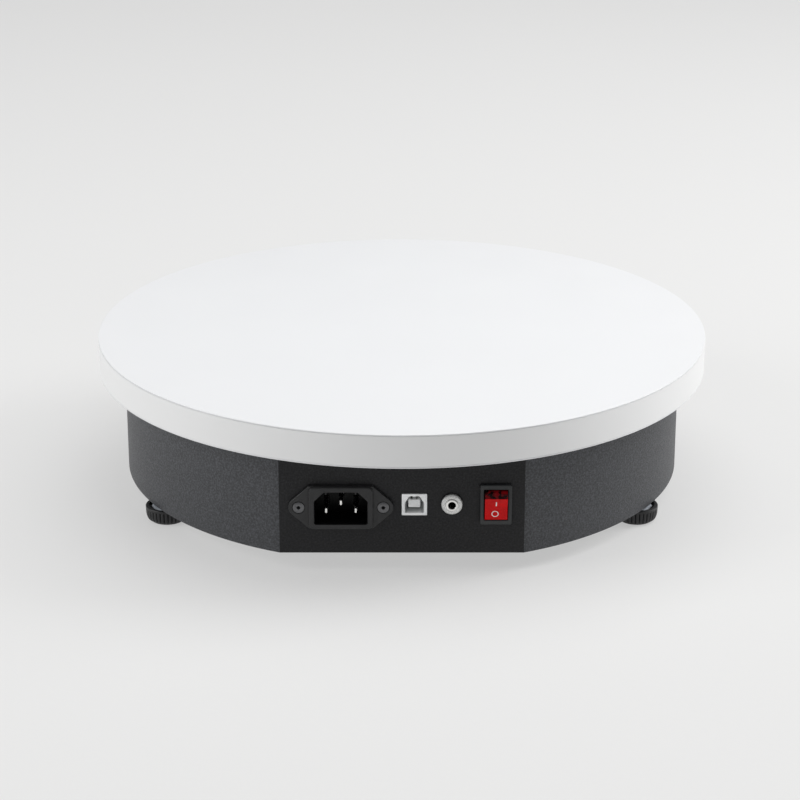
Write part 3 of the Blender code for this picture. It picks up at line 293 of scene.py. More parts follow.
MATERIALS = {
    "laminate_white": laminate("laminate_white", (0.800, 0.806, 0.815)),
    "edge_white": laminate("edge_white", (0.868, 0.870, 0.868)),
    "fibreboard": wood_fibre("fibreboard"),
    "black_powder_coat": powder_coat("black_powder_coat"),
    # the panel's coat is a darker copy of the sides' coat: painted shade for the front, which the platter's
    # overhang shades
    "panel_coat_painted_shade": powder_coat("panel_coat_painted_shade", (0.0105, 0.0105, 0.0115), 0.28),
    "black_plastic": moulded("black_plastic", (0.0200, 0.0202, 0.0210), Specular_IOR_Level=0.4),
    # much darker than the black plastic; lining the inlet's cavity, it is partly painted shade
    "glossy_black_plastic": moulded(
        "glossy_black_plastic", (0.0025, 0.0025, 0.0028), 0.34, Specular_IOR_Level=0.18
    ),
    "grey_frame_plastic": moulded("grey_frame_plastic", (0.021, 0.023, 0.024), 0.40),
    "white_plastic": moulded("white_plastic", (0.88, 0.89, 0.89), 0.42),
    "red_plastic": red_glow_plastic("red_plastic"),
    # the rocker's end walls: a darker copy of the red plastic, painted shade
    "red_plastic_painted_shade": red_plastic_painted_shade("red_plastic_painted_shade"),
    "black_rubber": rubber("black_rubber"),
    "zinc_steel": zinc("zinc_steel"),
    "plated_head": zinc("plated_head", (0.60, 0.64, 0.70), 0.42, 0.25),
    "dark_screw_steel": metal("dark_screw_steel", (0.15, 0.15, 0.155), 0.38, (1.0, 1.0, 1.0), 0.0006),
    "turned_steel": metal("turned_steel", (0.56, 0.56, 0.57), 0.26, (0.15, 0.15, 1.0)),
    "nickel_plate": metal("nickel_plate", (0.83, 0.82, 0.80), 0.20, (1.0, 0.08, 1.0)),
    "bright_tin": metal("bright_tin", (0.86, 0.87, 0.87), 0.40, (1.0, 0.15, 1.0), 0.0005, metallic=0.6),
    "blasted_nickel": cast_nickel("blasted_nickel"),
    "turned_aluminium": metal("turned_aluminium", (0.80, 0.80, 0.81), 0.28, (0.15, 0.15, 1.0)),
    "circuit_green": circuit_board("circuit_green"),
    "symbol_white": moulded("symbol_white", (0.86, 0.86, 0.85), 0.45),
}


# ---- outlines: closed lists of (x, y) points ------------------------------------------------

def arc(radius, start, end, steps, centre=(0.0, 0.0)):
    """Points along an arc, from start to end degrees, both ends included."""
    angles = [math.radians(start + (end - start) * i / steps) for i in range(steps + 1)]
    return [(centre[0] + radius * math.cos(a), centre[1] + radius * math.sin(a)) for a in angles]


def circle(radius, steps=48, centre=(0.0, 0.0)):
    return arc(radius, 0, 360, steps, centre)[:-1]


def rectangle(width, height, centre=(0.0, 0.0)):
    x, y = width / 2, height / 2
    return [(centre[0] + a * x, centre[1] + b * y) for a, b in ((-1, -1), (1, -1), (1, 1), (-1, 1))]


def rounded_rectangle(width, height, radius, steps=6, centre=(0.0, 0.0)):
    x, y = width / 2 - radius, height / 2 - radius
    corners = ((x, y, 0), (-x, y, 90), (-x, -y, 180), (x, -y, 270))
    return [
        point
        for cx, cy, start in corners
        for point in arc(radius, start, start + 90, steps, (centre[0] + cx, centre[1] + cy))
    ]


def top_chamfered(width, height, chamfer):
    """A rectangle with its two upper corners cut off."""
    x, y = width / 2, height / 2
    return [(-x, -y), (x, -y), (x, y - chamfer), (x - chamfer, y), (chamfer - x, y), (-x, y - chamfer)]


def softened(points, radius, steps=4):
    """An outline, counter-clockwise, with each corner rounded by this radius."""
    made = []
    count = len(points)
    for i, corner in enumerate(points):
        here, before, after = Vector(corner), Vector(points[i - 1]), Vector(points[(i + 1) % count])
        back, ahead = (before - here).normalized(), (after - here).normalized()
        half = math.acos(max(-1.0, min(1.0, back.dot(ahead)))) / 2
        nearly_straight = half > math.radians(89)
        if nearly_straight:
            made.append(tuple(here))
            continue
        reach = radius / math.tan(half)
        centre = here + (back + ahead).normalized() * (radius / math.sin(half))
        first, last = here + back * reach - centre, here + ahead * reach - centre
        turn = first.angle_signed(last)
        for step in range(steps + 1):
            share = turn * -step / steps
            cos, sin = math.cos(share), math.sin(share)
            made.append((centre.x + first.x * cos - first.y * sin, centre.y + first.x * sin + first.y * cos))
    return made


def inset(points, distance):
    """The outline, counter-clockwise, moved inwards by this distance."""
    made = []
    count = len(points)
    for i in range(count):
        here, before, after = Vector(points[i]), Vector(points[i - 1]), Vector(points[(i + 1) % count])
        first, second = (here - before).normalized(), (after - here).normalized()
        normal = Vector((-first.y - second.y, first.x + second.x))
        if normal.length < NOTHING:
            made.append(tuple(here))
            continue
        normal.normalize()
        # a sharp corner moves further than the sides, up to the limit that 0.3 sets
        lean = max(0.3, normal.dot(Vector((-first.y, first.x))))
        made.append(tuple(here + normal * (distance / lean)))
    return made


# ---- building pieces ------------------------------------------------------------------------

def placed(name, bm, matrix=None):
    """An object of this mesh, its faces pointing out, with the matrix put into its points."""
    bmesh.ops.recalc_face_normals(bm, faces=bm.faces)
    if matrix is not None:
        bm.transform(matrix)
    mesh = bpy.data.meshes.new(name)
    bm.to_mesh(mesh)
    bm.free()
    obj = bpy.data.objects.new(name, mesh)
    bpy.context.scene.collection.objects.link(obj)
    return obj


def lofted(name, sections, matrix=None):
    """A closed skin through sections of (outline, height), all with as many points, with flat ends."""
    bm = bmesh.new()
    rings = [[bm.verts.new((x, y, height)) for x, y in outline] for outline, height in sections]
    for lower, upper in zip(rings, rings[1:]):
        for i in range(len(lower)):
            j = (i + 1) % len(lower)
            bm.faces.new((lower[i], lower[j], upper[j], upper[i]))
    bm.faces.new(rings[0][::-1])
    bm.faces.new(rings[-1])
    return placed(name, bm, matrix)


def edge_sections(outline, low, high, edge_low, edge_high, steps=3):
    """Sections of a plate with rounded edges below and above."""
    sections = []
    quarter = [math.radians(90 * i / steps) for i in range(steps + 1)]
    if edge_low:
        sections += [
            (inset(outline, edge_low * (1 - math.sin(a))), low + edge_low * (1 - math.cos(a)))
            for a in quarter
        ]
    else:
        sections.append((outline, low))
    if edge_high:
        sections += [
            (inset(outline, edge_high * (1 - math.cos(a))), high - edge_high * (1 - math.sin(a)))
            for a in quarter
        ]
    else:
        sections.append((outline, high))
    return sections


def plate(name, outline, low, high, matrix=None, edge=0.0, edge_low=None, steps=3):
    """A flat piece with rounded edges, spanning low to high on its own z."""
    edge_low = edge if edge_low is None else edge_low
    return lofted(name, edge_sections(outline, low, high, edge_low, edge, steps), matrix)


def turned(name, profile, matrix=None, steps=64):
    """A closed solid: (radius, height) points joined in a loop, or from axis to axis, turned about z."""
    bm = bmesh.new()
    rings = []
    for radius, height in profile:
        if radius < NOTHING:
            rings.append([bm.verts.new((0.0, 0.0, height))])
        else:
            rings.append([bm.verts.new((x, y, height)) for x, y in circle(radius, steps)])
    pairs = list(zip(rings, rings[1:]))
    if len(rings[0]) > 1:
        pairs.append((rings[-1], rings[0]))
    for first, second in pairs:
        for i in range(steps):
            j = (i + 1) % steps
            corners = [
                first[i % len(first)], first[j % len(first)], second[j % len(second)], second[i % len(second)]
            ]
            kept = [corner for k, corner in enumerate(corners) if corner not in corners[:k]]
            if len(kept) > 2:
                bm.faces.new(kept)
    return placed(name, bm, matrix)


def rounded_profile(points, radius, steps=3):
    """A profile of (radius, height) points whose inner corners are rounded; its two ends stay."""
    made = [points[0]]
    for before, here, after in zip(points, points[1:], points[2:]):
        here, before, after = Vector(here), Vector(before), Vector(after)
        back, ahead = (before - here), (after - here)
        # two rounded corners never meet on the side between them
        reach = min(radius, back.length * 0.45, ahead.length * 0.45)
        start, end = here + back.normalized() * reach, here + ahead.normalized() * reach
        for step in range(steps + 1):
            t = step / steps
            made.append(tuple((1 - t) ** 2 * start + 2 * t * (1 - t) * here + t**2 * end))
    return made + [points[-1]]


def boolean(obj, other, operation):
    """Combines this solid with another closed solid, which is then gone."""
    modifier = obj.modifiers.new(operation, "BOOLEAN")
    modifier.operation = operation
    modifier.object = other
    modifier.solver = "EXACT"
    bpy.context.view_layer.update()
    evaluated = obj.evaluated_get(bpy.context.evaluated_depsgraph_get())
    mesh = bpy.data.meshes.new_from_object(evaluated)
    obj.modifiers.clear()
    old, obj.data = obj.data, mesh
    bpy.data.meshes.remove(old)
    gone = other.data
    bpy.data.objects.remove(other)
    bpy.data.meshes.remove(gone)


def cut(obj, *others):
    """Takes each of the others away from this solid."""
    for other in others:
        boolean(obj, other, "DIFFERENCE")


def join(obj, *others):
    """Adds each of the others to this solid."""
    for other in others:
        boolean(obj, other, "UNION")


def finished(obj, finish, body, replaced=(), angle=30):
    """Gives a piece its material, smooth shading and body, and the nodes that it stands for."""
    obj.data.name = obj.name
    obj.data.materials.clear()
    obj.data.materials.append(MATERIALS[finish])
    obj.data.shade_smooth()
    obj.data.set_sharp_from_angle(angle=math.radians(angle))
    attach(obj, body)
    if replaced:
        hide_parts(*replaced)


def second_material(obj, finish, chosen):
    """Gives the faces that pass the test a material of their own."""
    obj.data.materials.append(MATERIALS[finish])
    for face in obj.data.polygons:
        if chosen(face):
            face.material_index = 1


# ---- places, read from the frame ------------------------------------------------------------

top_low, top_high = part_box("top_laminate")
bottom_low, bottom_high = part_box("bottom_laminate")
shell_low, shell_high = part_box("base_shell")
cover_low, cover_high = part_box("bottom_cover")

PLATTER_RADIUS = top_high.x
BASE_RADIUS = shell_high.x
BASE_BOTTOM = shell_low.z
BASE_TOP = shell_high.z
PANEL_Y = shell_low.y
SHEET = cover_high.z - cover_low.z
GAP = 0.3 * MM
REACH = 10 * MM         # how far a cutter goes past what it cuts
SIDES = ("left", "right", "rear")


def middle(node):
    """The middle of a node's box."""
    low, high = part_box(node)
    return (low + high) / 2


def on_panel(spot):
    """A frame on the panel's outer plane: its x runs along +X, its y up, and its z out of the panel."""
    return Matrix.Translation((spot.x, PANEL_Y, spot.z)) @ Matrix.Rotation(math.radians(90), 4, "X")


def panel_box(node):
    """A node on the panel: its frame there, its width and height, and its back and front from the panel."""
    low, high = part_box(node)
    return on_panel((low + high) / 2), high.x - low.x, high.z - low.z, PANEL_Y - high.y, PANEL_Y - low.y


# ---- platter --------------------------------------------------------------------------------

ROUND_STEPS = 256
LAMINATE_EDGE = 0.45 * MM
BAND_THICKNESS = 1.0 * MM
BAND_CHAMFER = 0.05 * MM
SEAM = 0.02 * MM        # between the edge band and each laminate


def platter():
    """Top and bottom laminates and the edge band, with softened corners."""
    top = [(0, top_high.z), (PLATTER_RADIUS, top_high.z), (PLATTER_RADIUS, top_low.z), (0, top_low.z)]
    top = rounded_profile(top, LAMINATE_EDGE, 4)
    finished(turned("platter_top", top, steps=ROUND_STEPS), "laminate_white", "platter", ["top_laminate"])

    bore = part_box("platter_hub")[1].x + GAP
    under = [
        (bore, bottom_high.z), (PLATTER_RADIUS, bottom_high.z), (PLATTER_RADIUS, bottom_low.z),
        (bore, bottom_low.z),
    ]
    underside = turned("platter_underside", rounded_profile(under, LAMINATE_EDGE, 4), steps=ROUND_STEPS)
    finished(underside, "laminate_white", "platter", ["bottom_laminate"])

    inner, chamfered = PLATTER_RADIUS - BAND_THICKNESS, PLATTER_RADIUS - BAND_CHAMFER
    high, low = top_low.z - SEAM, bottom_high.z + SEAM
    band = [
        (inner, high), (chamfered, high), (PLATTER_RADIUS, high - 2 * SEAM),
        (PLATTER_RADIUS, low + 2 * SEAM), (chamfered, low), (inner, low),
    ]
    finished(turned("platter_edge", band, steps=ROUND_STEPS), "edge_white", "platter", ["edge_band"])


# ---- drum -----------------------------------------------------------------------------------

DECK_EDGE = 1.2 * MM
RIM_EDGE = 0.25 * MM
DECK_HOLE_RADIUS = 31 * MM
PANEL_HOLES = {
    "inlet_socket": rectangle(27.6 * MM, 20.6 * MM),
    "usb_shell": rectangle(12.6 * MM, 11.45 * MM),
    "jack_nut": circle(3.3 * MM),
    "switch_frame": rectangle(13.0 * MM, 19.0 * MM),
    "inlet_screw_left": circle(2.0 * MM, 32),
    "inlet_screw_right": circle(2.0 * MM, 32),
}
STUD_HOLE_RADIUS = 4.5 * MM
COVER_HOLE_RADIUS = 1.8 * MM
COVER_EDGE = 0.3 * MM
VENT_SIZE = (32 * MM, 2.2 * MM)
VENT_CORNER = 1.0 * MM
VENT_PITCH = 7 * MM
VENTS_CENTRE = (30 * MM, -80 * MM)
VENT_COUNT = 7


def drum_outline(radius, chord, steps=200):
    """A circle with the panel's chord cut off, counter-clockwise."""
    half = math.degrees(math.acos(-chord / radius))
    return arc(radius, -90 + half, 270 - half, steps)


def drum():
    """The bent sheet drum: a formed edge round the deck, crisp bends beside the panel, and its cut-outs."""
    outer = drum_outline(BASE_RADIUS, PANEL_Y)
    inner = drum_outline(BASE_RADIUS - SHEET, PANEL_Y + SHEET)
    shell = lofted("drum_shell", edge_sections(outer, BASE_BOTTOM, BASE_TOP, RIM_EDGE, DECK_EDGE, 4))
    hollow = edge_sections(inner, BASE_BOTTOM - REACH, BASE_TOP - SHEET, 0, DECK_EDGE / 2, 3)
    cut(shell, lofted("hollow", hollow))
    cut(shell, plate("deck_hole", circle(DECK_HOLE_RADIUS, 96), BASE_TOP - REACH, BASE_TOP + REACH))
    for node, outline in PANEL_HOLES.items():
        cut(shell, plate("panel_hole", outline, -REACH, REACH, on_panel(middle(node))))
    finished(shell, "black_powder_coat", "base", ["base_shell"])
    # the faces that look to the front take the darker coat: painted shade under the platter's overhang
    second_material(shell, "panel_coat_painted_shade", lambda face: face.normal.y < -0.99)


def cover():
    """The bottom plate with a softened edge, vent slots, stud holes and screw holes."""
    outline = drum_outline(cover_high.x, PANEL_Y + SHEET + GAP)
    piece = plate("underside_cover", outline, cover_low.z, cover_high.z, edge=COVER_EDGE)
    holes = []
    for side in SIDES:
        holes.append(circle(STUD_HOLE_RADIUS, 40, middle(f"foot_{side}_stud")[:2]))
        holes.append(circle(COVER_HOLE_RADIUS, 24, middle(f"cover_screw_{side}")[:2]))
    for row in range(VENT_COUNT):
        centre = (VENTS_CENTRE[0], VENTS_CENTRE[1] + (row - VENT_COUNT // 2) * VENT_PITCH)
        holes.append(rounded_rectangle(*VENT_SIZE, VENT_CORNER, 5, centre))
    for hole in holes:
        cut(piece, plate("hole", hole, cover_low.z - REACH, cover_high.z + REACH))
    finished(piece, "zinc_steel", "base", ["bottom_cover"])


# ---- feet -----------------------------------------------------------------------------------

WHEEL_RADIUS = 10.9 * MM
WHEEL_RIBS = 34
GROOVE = 0.75 * MM
RECESS_RADIUS = 9.4 * MM
RECESS_DEPTH = 1.2 * MM
RECESS_TAPER = 0.3 * MM
POCKET_ACROSS_FLATS = 14.6 * MM
POCKET_FLOOR = 3.6 * MM
HEAD_ACROSS_FLATS = 14.0 * MM
HEAD_LOW = 3.9 * MM
HEAD_HIGH = 7.6 * MM
HEAD_FLAT_RADIUS = 7.1 * MM
HEAD_CORNER_RADIUS = 8.2 * MM
HEAD_CHAMFER = 0.6 * MM
THREAD_PITCH = 1.25 * MM
THREAD_MAJOR = 4.0 * MM
THREAD_MINOR = 3.35 * MM
THREAD_LEAD_IN = 0.5 * MM
PAD_RADIUS = 8.4 * MM
PAD_HIGH = 2.5 * MM
PAD_CUP_RADIUS = 5.2 * MM
PAD_CUP_DEPTH = 0.35 * MM


def ribbed(radius, ribs, depth, steps=6):
    """A knurled outline: broad round-topped ribs with narrow grooves between them."""
    count = ribs * steps
    points = []
    for i in range(count):
        wave = abs(math.sin(math.pi * i / steps))
        reach = radius - depth * (1 - wave ** 0.5)
        angle = 2 * math.pi * i / count
        points.append((reach * math.cos(angle), reach * math.sin(angle)))
    return points


def hexagon(across_flats):
    """A regular hexagon, sized by the distance between opposite sides."""
    return circle(across_flats / math.sqrt(3), 6)


def foot(side):
    """A knurled wheel on a hexagon-headed stud, over a rubber pad."""
    centre = middle(f"foot_{side}_pad")
    spot = Matrix.Translation((centre.x, centre.y, 0.0))
    foot_wheel(side, spot)
    foot_stud(side, spot)
    foot_pad(side, spot)


def foot_wheel(side, spot):
    """The wheel narrows towards the floor; it holds the stud's head above and the pad below."""
    low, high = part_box(f"foot_{side}_knob")
    low, high = low.z, high.z
    # (in from the full radius, depth of the grooves, height)
    levels = [
        (1.5 * MM, 0.0, low), (1.15 * MM, 0.0, low + 0.15 * MM), (0.9 * MM, 0.05 * MM, low + 0.45 * MM),
        (0.6 * MM, GROOVE, low + 1.0 * MM), (0.15 * MM, GROOVE, low + 2.6 * MM),
        (0.0, GROOVE, high - 1.6 * MM), (0.0, 0.05 * MM, high - 1.1 * MM), (0.0, 0.0, high - 0.35 * MM),
        (0.15 * MM, 0.0, high - 0.1 * MM), (0.45 * MM, 0.0, high),
    ]
    sections = [
        (ribbed(WHEEL_RADIUS - narrower, WHEEL_RIBS, depth), height) for narrower, depth, height in levels
    ]
    wheel = lofted(f"foot_{side}_wheel", sections, spot)
    above, floor = high + 2 * MM, high - RECESS_DEPTH
    recess = [(0, above), (RECESS_RADIUS, above), (RECESS_RADIUS - RECESS_TAPER, floor), (0, floor)]
    pad_room = PAD_HIGH + GAP
    socket = [(0, pad_room), (PAD_RADIUS + GAP, pad_room), (PAD_RADIUS + 0.5 * MM, 0.0), (0, 0.0)]
    cut(
        wheel,
        turned("recess", rounded_profile(recess, 0.3 * MM), spot, 72),
        plate("pocket", hexagon(POCKET_ACROSS_FLATS), POCKET_FLOOR, above, spot),
        turned("socket", socket, spot, 72),
    )
    finished(wheel, "black_plastic", f"foot_{side}_wheel", [f"foot_{side}_knob"])


def foot_stud(side, spot):
    """A bright hexagon head with chamfered corners, and a threaded shank above it."""
    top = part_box(f"foot_{side}_stud")[1].z
    stud = plate(f"foot_{side}_bolt", hexagon(HEAD_ACROSS_FLATS), HEAD_LOW, HEAD_HIGH, spot)
    crown = [
        (0, HEAD_HIGH + 1 * MM), (5.5 * MM, HEAD_HIGH + 1 * MM), (HEAD_FLAT_RADIUS, HEAD_HIGH),
        (HEAD_CORNER_RADIUS, HEAD_HIGH - HEAD_CHAMFER), (HEAD_CORNER_RADIUS, HEAD_LOW - 1 * MM),
        (0, HEAD_LOW - 1 * MM),
    ]
    boolean(stud, turned("crown", crown, spot, 60), "INTERSECT")

    start = top - THREAD_LEAD_IN
    turns = int((start - HEAD_HIGH - 0.7 * MM) / THREAD_PITCH)
    thread = [(0, top), (THREAD_MINOR - 0.3 * MM, top)]
    for i in range(turns):
        high = start - i * THREAD_PITCH
        thread.append((THREAD_MINOR, high))
        thread += [(THREAD_MAJOR, high - share * THREAD_PITCH) for share in (0.45, 0.55)]
    thread += [
        (THREAD_MINOR, start - turns * THREAD_PITCH), (THREAD_MINOR, HEAD_LOW + 1 * MM),
        (0, HEAD_LOW + 1 * MM),
    ]
    join(stud, turned("thread", thread, spot, 36))
    finished(stud, "plated_head", f"foot_{side}_wheel", [f"foot_{side}_stud"])


def foot_pad(side, spot):
    """A rubber pad with a shallow cup under it."""
    profile = [
        (0, PAD_HIGH), (PAD_RADIUS, PAD_HIGH), (PAD_RADIUS, 0.0), (PAD_CUP_RADIUS, 0.0),
        (PAD_CUP_RADIUS - 0.2 * MM, PAD_CUP_DEPTH), (0, PAD_CUP_DEPTH),
    ]
    pad = turned(f"foot_{side}_rubber", rounded_profile(profile, 0.35 * MM), spot, 72)
    finished(pad, "black_rubber", f"foot_{side}_slider", [f"foot_{side}_pad"])


# ---- mains inlet ----------------------------------------------------------------------------

FLANGE_THICKNESS = 1.6 * MM
FLANGE_EDGE = 0.35 * MM
EAR_RADIUS = 4.75 * MM
EAR_SPACING = 40 * MM
HOOD_WIDTH = 30.3 * MM
HOOD_CORNER = 2.6 * MM
HOOD_EDGE = 0.6 * MM
REAR_SIZE = (27 * MM, 20 * MM)
CAVITY_SIZE = (25 * MM, 16 * MM)
CAVITY_CHAMFER = 4.6 * MM
CAVITY_CORNER = 0.9 * MM
CAVITY_DEPTH = 16.5 * MM
RIB_SIZE = (0.6 * MM, 1.4 * MM)
RIB_X = 7.0 * MM
RIB_Y = 7.9 * MM
PIN_SLOT = (2.6 * MM, 4.6 * MM)
SINK_RADIUS = 3.25 * MM
SINK_BORE = 1.8 * MM


def lozenge(width, height, ear_radius, spacing, steps=12):
    """A block with a pointed, rounded ear at each side, counter-clockwise."""
    x, y, ear = width / 2, height / 2, spacing / 2
    run = ear - x
    tangent = math.degrees(math.atan2(y, -run) - math.acos(ear_radius / math.hypot(run, y)))
    right = arc(ear_radius, -tangent, tangent, steps, (ear, 0.0))
    left = [(-px, py) for px, py in reversed(right)]
    return [(-x, -y), (x, -y)] + right + [(x, y), (-x, y)] + left


def inlet():
    """The flanged socket, its three pins and its two screws."""
    flange_high = GAP + FLANGE_THICKNESS
    inlet_housing(flange_high)
    for node in ("earth", "live", "neutral"):
        pin(node)
    for side in ("left", "right"):
        flange_screw(side, flange_high)


def inlet_housing(flange_high):
    """Thin ears, a raised hood, and a deep glossy cavity with two of its corners cut off."""
    spot, _, height, back, front = panel_box("inlet_socket")
    floor = front - CAVITY_DEPTH
    flange = lozenge(HOOD_WIDTH, height, EAR_RADIUS, EAR_SPACING)
    socket = plate("inlet_housing", flange, GAP, flange_high, spot, FLANGE_EDGE, 0)
    hood = softened(rectangle(HOOD_WIDTH, height - 0.1 * MM), HOOD_CORNER, 6)
    join(
        socket,
        plate("hood", hood, GAP + 0.2 * MM, front, spot, HOOD_EDGE, 0, 4),
        plate("rear", rectangle(*REAR_SIZE), back, flange_high - 0.4 * MM, spot),
    )
    cavity = softened(top_chamfered(*CAVITY_SIZE, CAVITY_CHAMFER), CAVITY_CORNER, 4)
    sections = [
        (cavity, floor), (cavity, front - 0.5 * MM), (inset(cavity, -0.25 * MM), front - 0.12 * MM),
        (inset(cavity, -0.5 * MM), front + 1 * MM),
    ]
    cut(socket, lofted("cavity", sections, spot))
    for x in (-RIB_X, RIB_X):
        rib = rectangle(*RIB_SIZE, (x, RIB_Y))
        join(socket, plate("rib", rib, floor + 1 * MM, front - 0.1 * MM, spot))
    for node in ("earth", "live", "neutral"):
        place = on_panel(middle(f"inlet_pin_{node}"))
        cut(socket, plate("pin_slot", rectangle(*PIN_SLOT), floor - 4 * MM, floor + 1 * MM, place))
    sink = [
        (0, flange_high + 2 * MM), (SINK_RADIUS, flange_high + 2 * MM),
        (SINK_RADIUS - 0.2 * MM, flange_high - 0.25 * MM), (SINK_BORE, GAP - 0.1 * MM),
        (SINK_BORE, GAP - 2 * MM), (0, GAP - 2 * MM),
    ]
    for side in ("left", "right"):
        cut(socket, turned("countersink", sink, on_panel(middle(f"inlet_screw_{side}")), 40))
    finished(socket, "black_plastic", "base", ["inlet_socket"], 28)

    inverse = spot.inverted()

    def in_cavity(face):
        """The cavity's faces are smooth and darker than the textured hood: a glossy finish, and a darker colour
        that is painted shade in the deep recess.
        """
        place = inverse @ face.center
        inside = abs(place.x) < CAVITY_SIZE[0] / 2 + 0.1 * MM and abs(place.y) < CAVITY_SIZE[1] / 2 + 0.9 * MM
        return inside and floor - 0.1 * MM < place.z < front - 0.3 * MM

    second_material(socket, "glossy_black_plastic", in_cavity)


def pin(node):
    """A flat pin that narrows towards its tip."""
    spot, width, height, tail, tip = panel_box(f"inlet_pin_{node}")
    # (narrower, shorter, back from the tip)
    levels = [
        (0, 0, tip - tail), (0, 0, 2.2 * MM), (0.5 * MM, 0.9 * MM, 1.1 * MM), (1.0 * MM, 1.7 * MM, 0.08 * MM),
        (1.1 * MM, 1.8 * MM, 0),
    ]
    sections = [
        (rounded_rectangle(width - narrower, height - shorter, 0.35 * MM, 3), tip - behind)
        for narrower, shorter, behind in levels
    ]
    finished(lofted(f"pin_{node}", sections, spot), "nickel_plate", "base", [f"inlet_pin_{node}"])


def cross(long, bar):
    """A plus-shaped outline, counter-clockwise: its arms reach this far out, and bar is half their width."""
    return [
        (bar, -long), (bar, -bar), (long, -bar), (long, bar), (bar, bar), (bar, long),
        (-bar, long), (-bar, bar), (-long, bar), (-long, -bar), (-bar, -bar), (-bar, -long),
    ]


def flange_screw(side, seat):
    """A blackened countersunk screw with a deep round and cross recess."""
    head, shank = 2.75 * MM, 1.5 * MM
    spot, _, _, tail, top = panel_box(f"inlet_screw_{side}")
    profile = [
        (0, top), (1.6 * MM, top), (head, top - 0.22 * MM), (head, seat - 0.1 * MM), (shank, GAP),
        (shank, tail + 0.6 * MM), (shank - 0.5 * MM, tail), (0, tail),
    ]
    screw = turned(f"flange_screw_{side}", rounded_profile(profile, 0.12 * MM, 2), spot, 48)
    star = cross(1.2 * MM, 0.26 * MM)
    above, deep = top + 0.5 * MM, top - 2.4 * MM
    well = [(0, above), (0.88 * MM, above), (0.80 * MM, deep), (0, deep)]
    cut(
        screw,
        lofted("star", [(inset(star, 0.1 * MM), top - 0.4 * MM), (star, above)], spot),
        turned("well", well, spot, 32),
    )
    finished(screw, "dark_screw_steel", "base", [f"inlet_screw_{side}"])


# ---- USB port -------------------------------------------------------------------------------

OPENING_SIZE = (9.0 * MM, 8.1 * MM)
KEY_ACROSS = 1.9 * MM
KEY_DOWN = 3.2 * MM
OPENING_TAPER = 0.5 * MM
WINDOW_SIZE = (1.1 * MM, 0.8 * MM)
BLOCK_SLOT = (6.2 * MM, 4.4 * MM)
BLOCK_RISE = 0.3 * MM
CONTACT_X = 1.25 * MM


def usb_port():
    """A folded metal shell round a keyed opening, with the contact block hanging in it."""
    spot, width, height, back, front = panel_box("usb_shell")
    outline = softened(rectangle(width, height), 0.35 * MM, 3)
    shell = plate("port_shell", outline, back, front, spot, 0.18 * MM)

    def keyed(shrink):
        x, y = OPENING_SIZE[0] / 2 - shrink, OPENING_SIZE[1] / 2 - shrink
        corners = [
            (-x, -y), (x, -y), (x, y - KEY_DOWN), (x - KEY_ACROSS, y), (KEY_ACROSS - x, y), (-x, y - KEY_DOWN)
        ]
        return softened(corners, 0.4 * MM, 3)

    narrow = keyed(OPENING_TAPER)
    sections = [
        (narrow, back + 2 * MM), (narrow, front - 2.4 * MM), (keyed(0.0), front - 0.4 * MM),
        (keyed(-0.2 * MM), front + 0.6 * MM),
    ]
    cut(shell, lofted("opening", sections, spot))
    for x in (-1.5 * MM, 1.5 * MM):
        window = rectangle(*WINDOW_SIZE, (x, OPENING_SIZE[1] / 2 - 0.05 * MM))
        cut(shell, plate("contact_window", window, front - 3.2 * MM, front + 1 * MM, spot))
    slot = rectangle(*BLOCK_SLOT, (0, BLOCK_RISE))
    cut(shell, plate("block_slot", slot, back - 1 * MM, back + 3 * MM, spot))
    finished(shell, "bright_tin", "base", ["usb_shell"])
    contact_block()


def contact_block():
    """The white block in the port, with two contacts above and two below."""
    spot, width, height, tail, tip = panel_box("usb_tongue")
    outline = softened(rectangle(width, height), 0.3 * MM, 3)
    block = plate("contact_block", outline, tail, tip, spot, 0.25 * MM)
    finished(block, "white_plastic", "base", ["usb_tongue"])
    reach = height / 2 + 0.03 * MM
    places = [(-CONTACT_X, reach), (CONTACT_X, reach), (-CONTACT_X, -reach), (CONTACT_X, -reach)]
    for index, place in enumerate(places, 1):
        strip = rounded_rectangle(1.0 * MM, 0.14 * MM, 0.05 * MM, 2, place)
        contact = plate(f"port_contact_{index}", strip, tail + 2 * MM, tip - 0.6 * MM, spot, 0.03 * MM)
        finished(contact, "nickel_plate", "base")


# ---- 3.5 mm jack ----------------------------------------------------------------------------

NUT_RIBS = 44
NUT_PLAY = 0.05 * MM
SLEEVE_BORE = 1.8 * MM


def jack():
    """A blasted ring nut round a bright sleeve."""
    spot, width, _, _, front = panel_box("jack_nut")
    radius = width / 2
    sleeve_spot, sleeve_width, _, tail, tip = panel_box("jack_bushing")
    outer = sleeve_width / 2
    # (in from the full radius, depth of the grooves, height)
    levels = [
        (0.1 * MM, 0.1 * MM, GAP), (0.0, 0.2 * MM, GAP + 0.2 * MM), (0.0, 0.2 * MM, front - 0.8 * MM),
        (0.15 * MM, 0.1 * MM, front - 0.45 * MM), (0.5 * MM, 0.0, front - 0.12 * MM), (0.9 * MM, 0.0, front),
    ]
    sections = [(ribbed(radius - narrower, NUT_RIBS, depth, 4), height) for narrower, depth, height in levels]
    nut = lofted("ring_nut", sections, spot)
    bore = outer + NUT_PLAY
    profile = [(0, front + 1 * MM), (bore, front + 1 * MM), (bore, GAP - 1 * MM), (0, GAP - 1 * MM)]
    cut(nut, turned("bore", profile, spot, 64))
    finished(nut, "blasted_nickel", "base", ["jack_nut"])

    profile = [
        (SLEEVE_BORE, tail), (SLEEVE_BORE, tip - 0.2 * MM), (SLEEVE_BORE + 0.15 * MM, tip),
        (outer - 0.2 * MM, tip), (outer, tip - 0.2 * MM), (outer, tail), (SLEEVE_BORE, tail),
    ]
    sleeve = turned("jack_sleeve", rounded_profile(profile, 0.12 * MM, 3)[:-1], sleeve_spot, 64)
    finished(sleeve, "nickel_plate", "base", ["jack_bushing"])


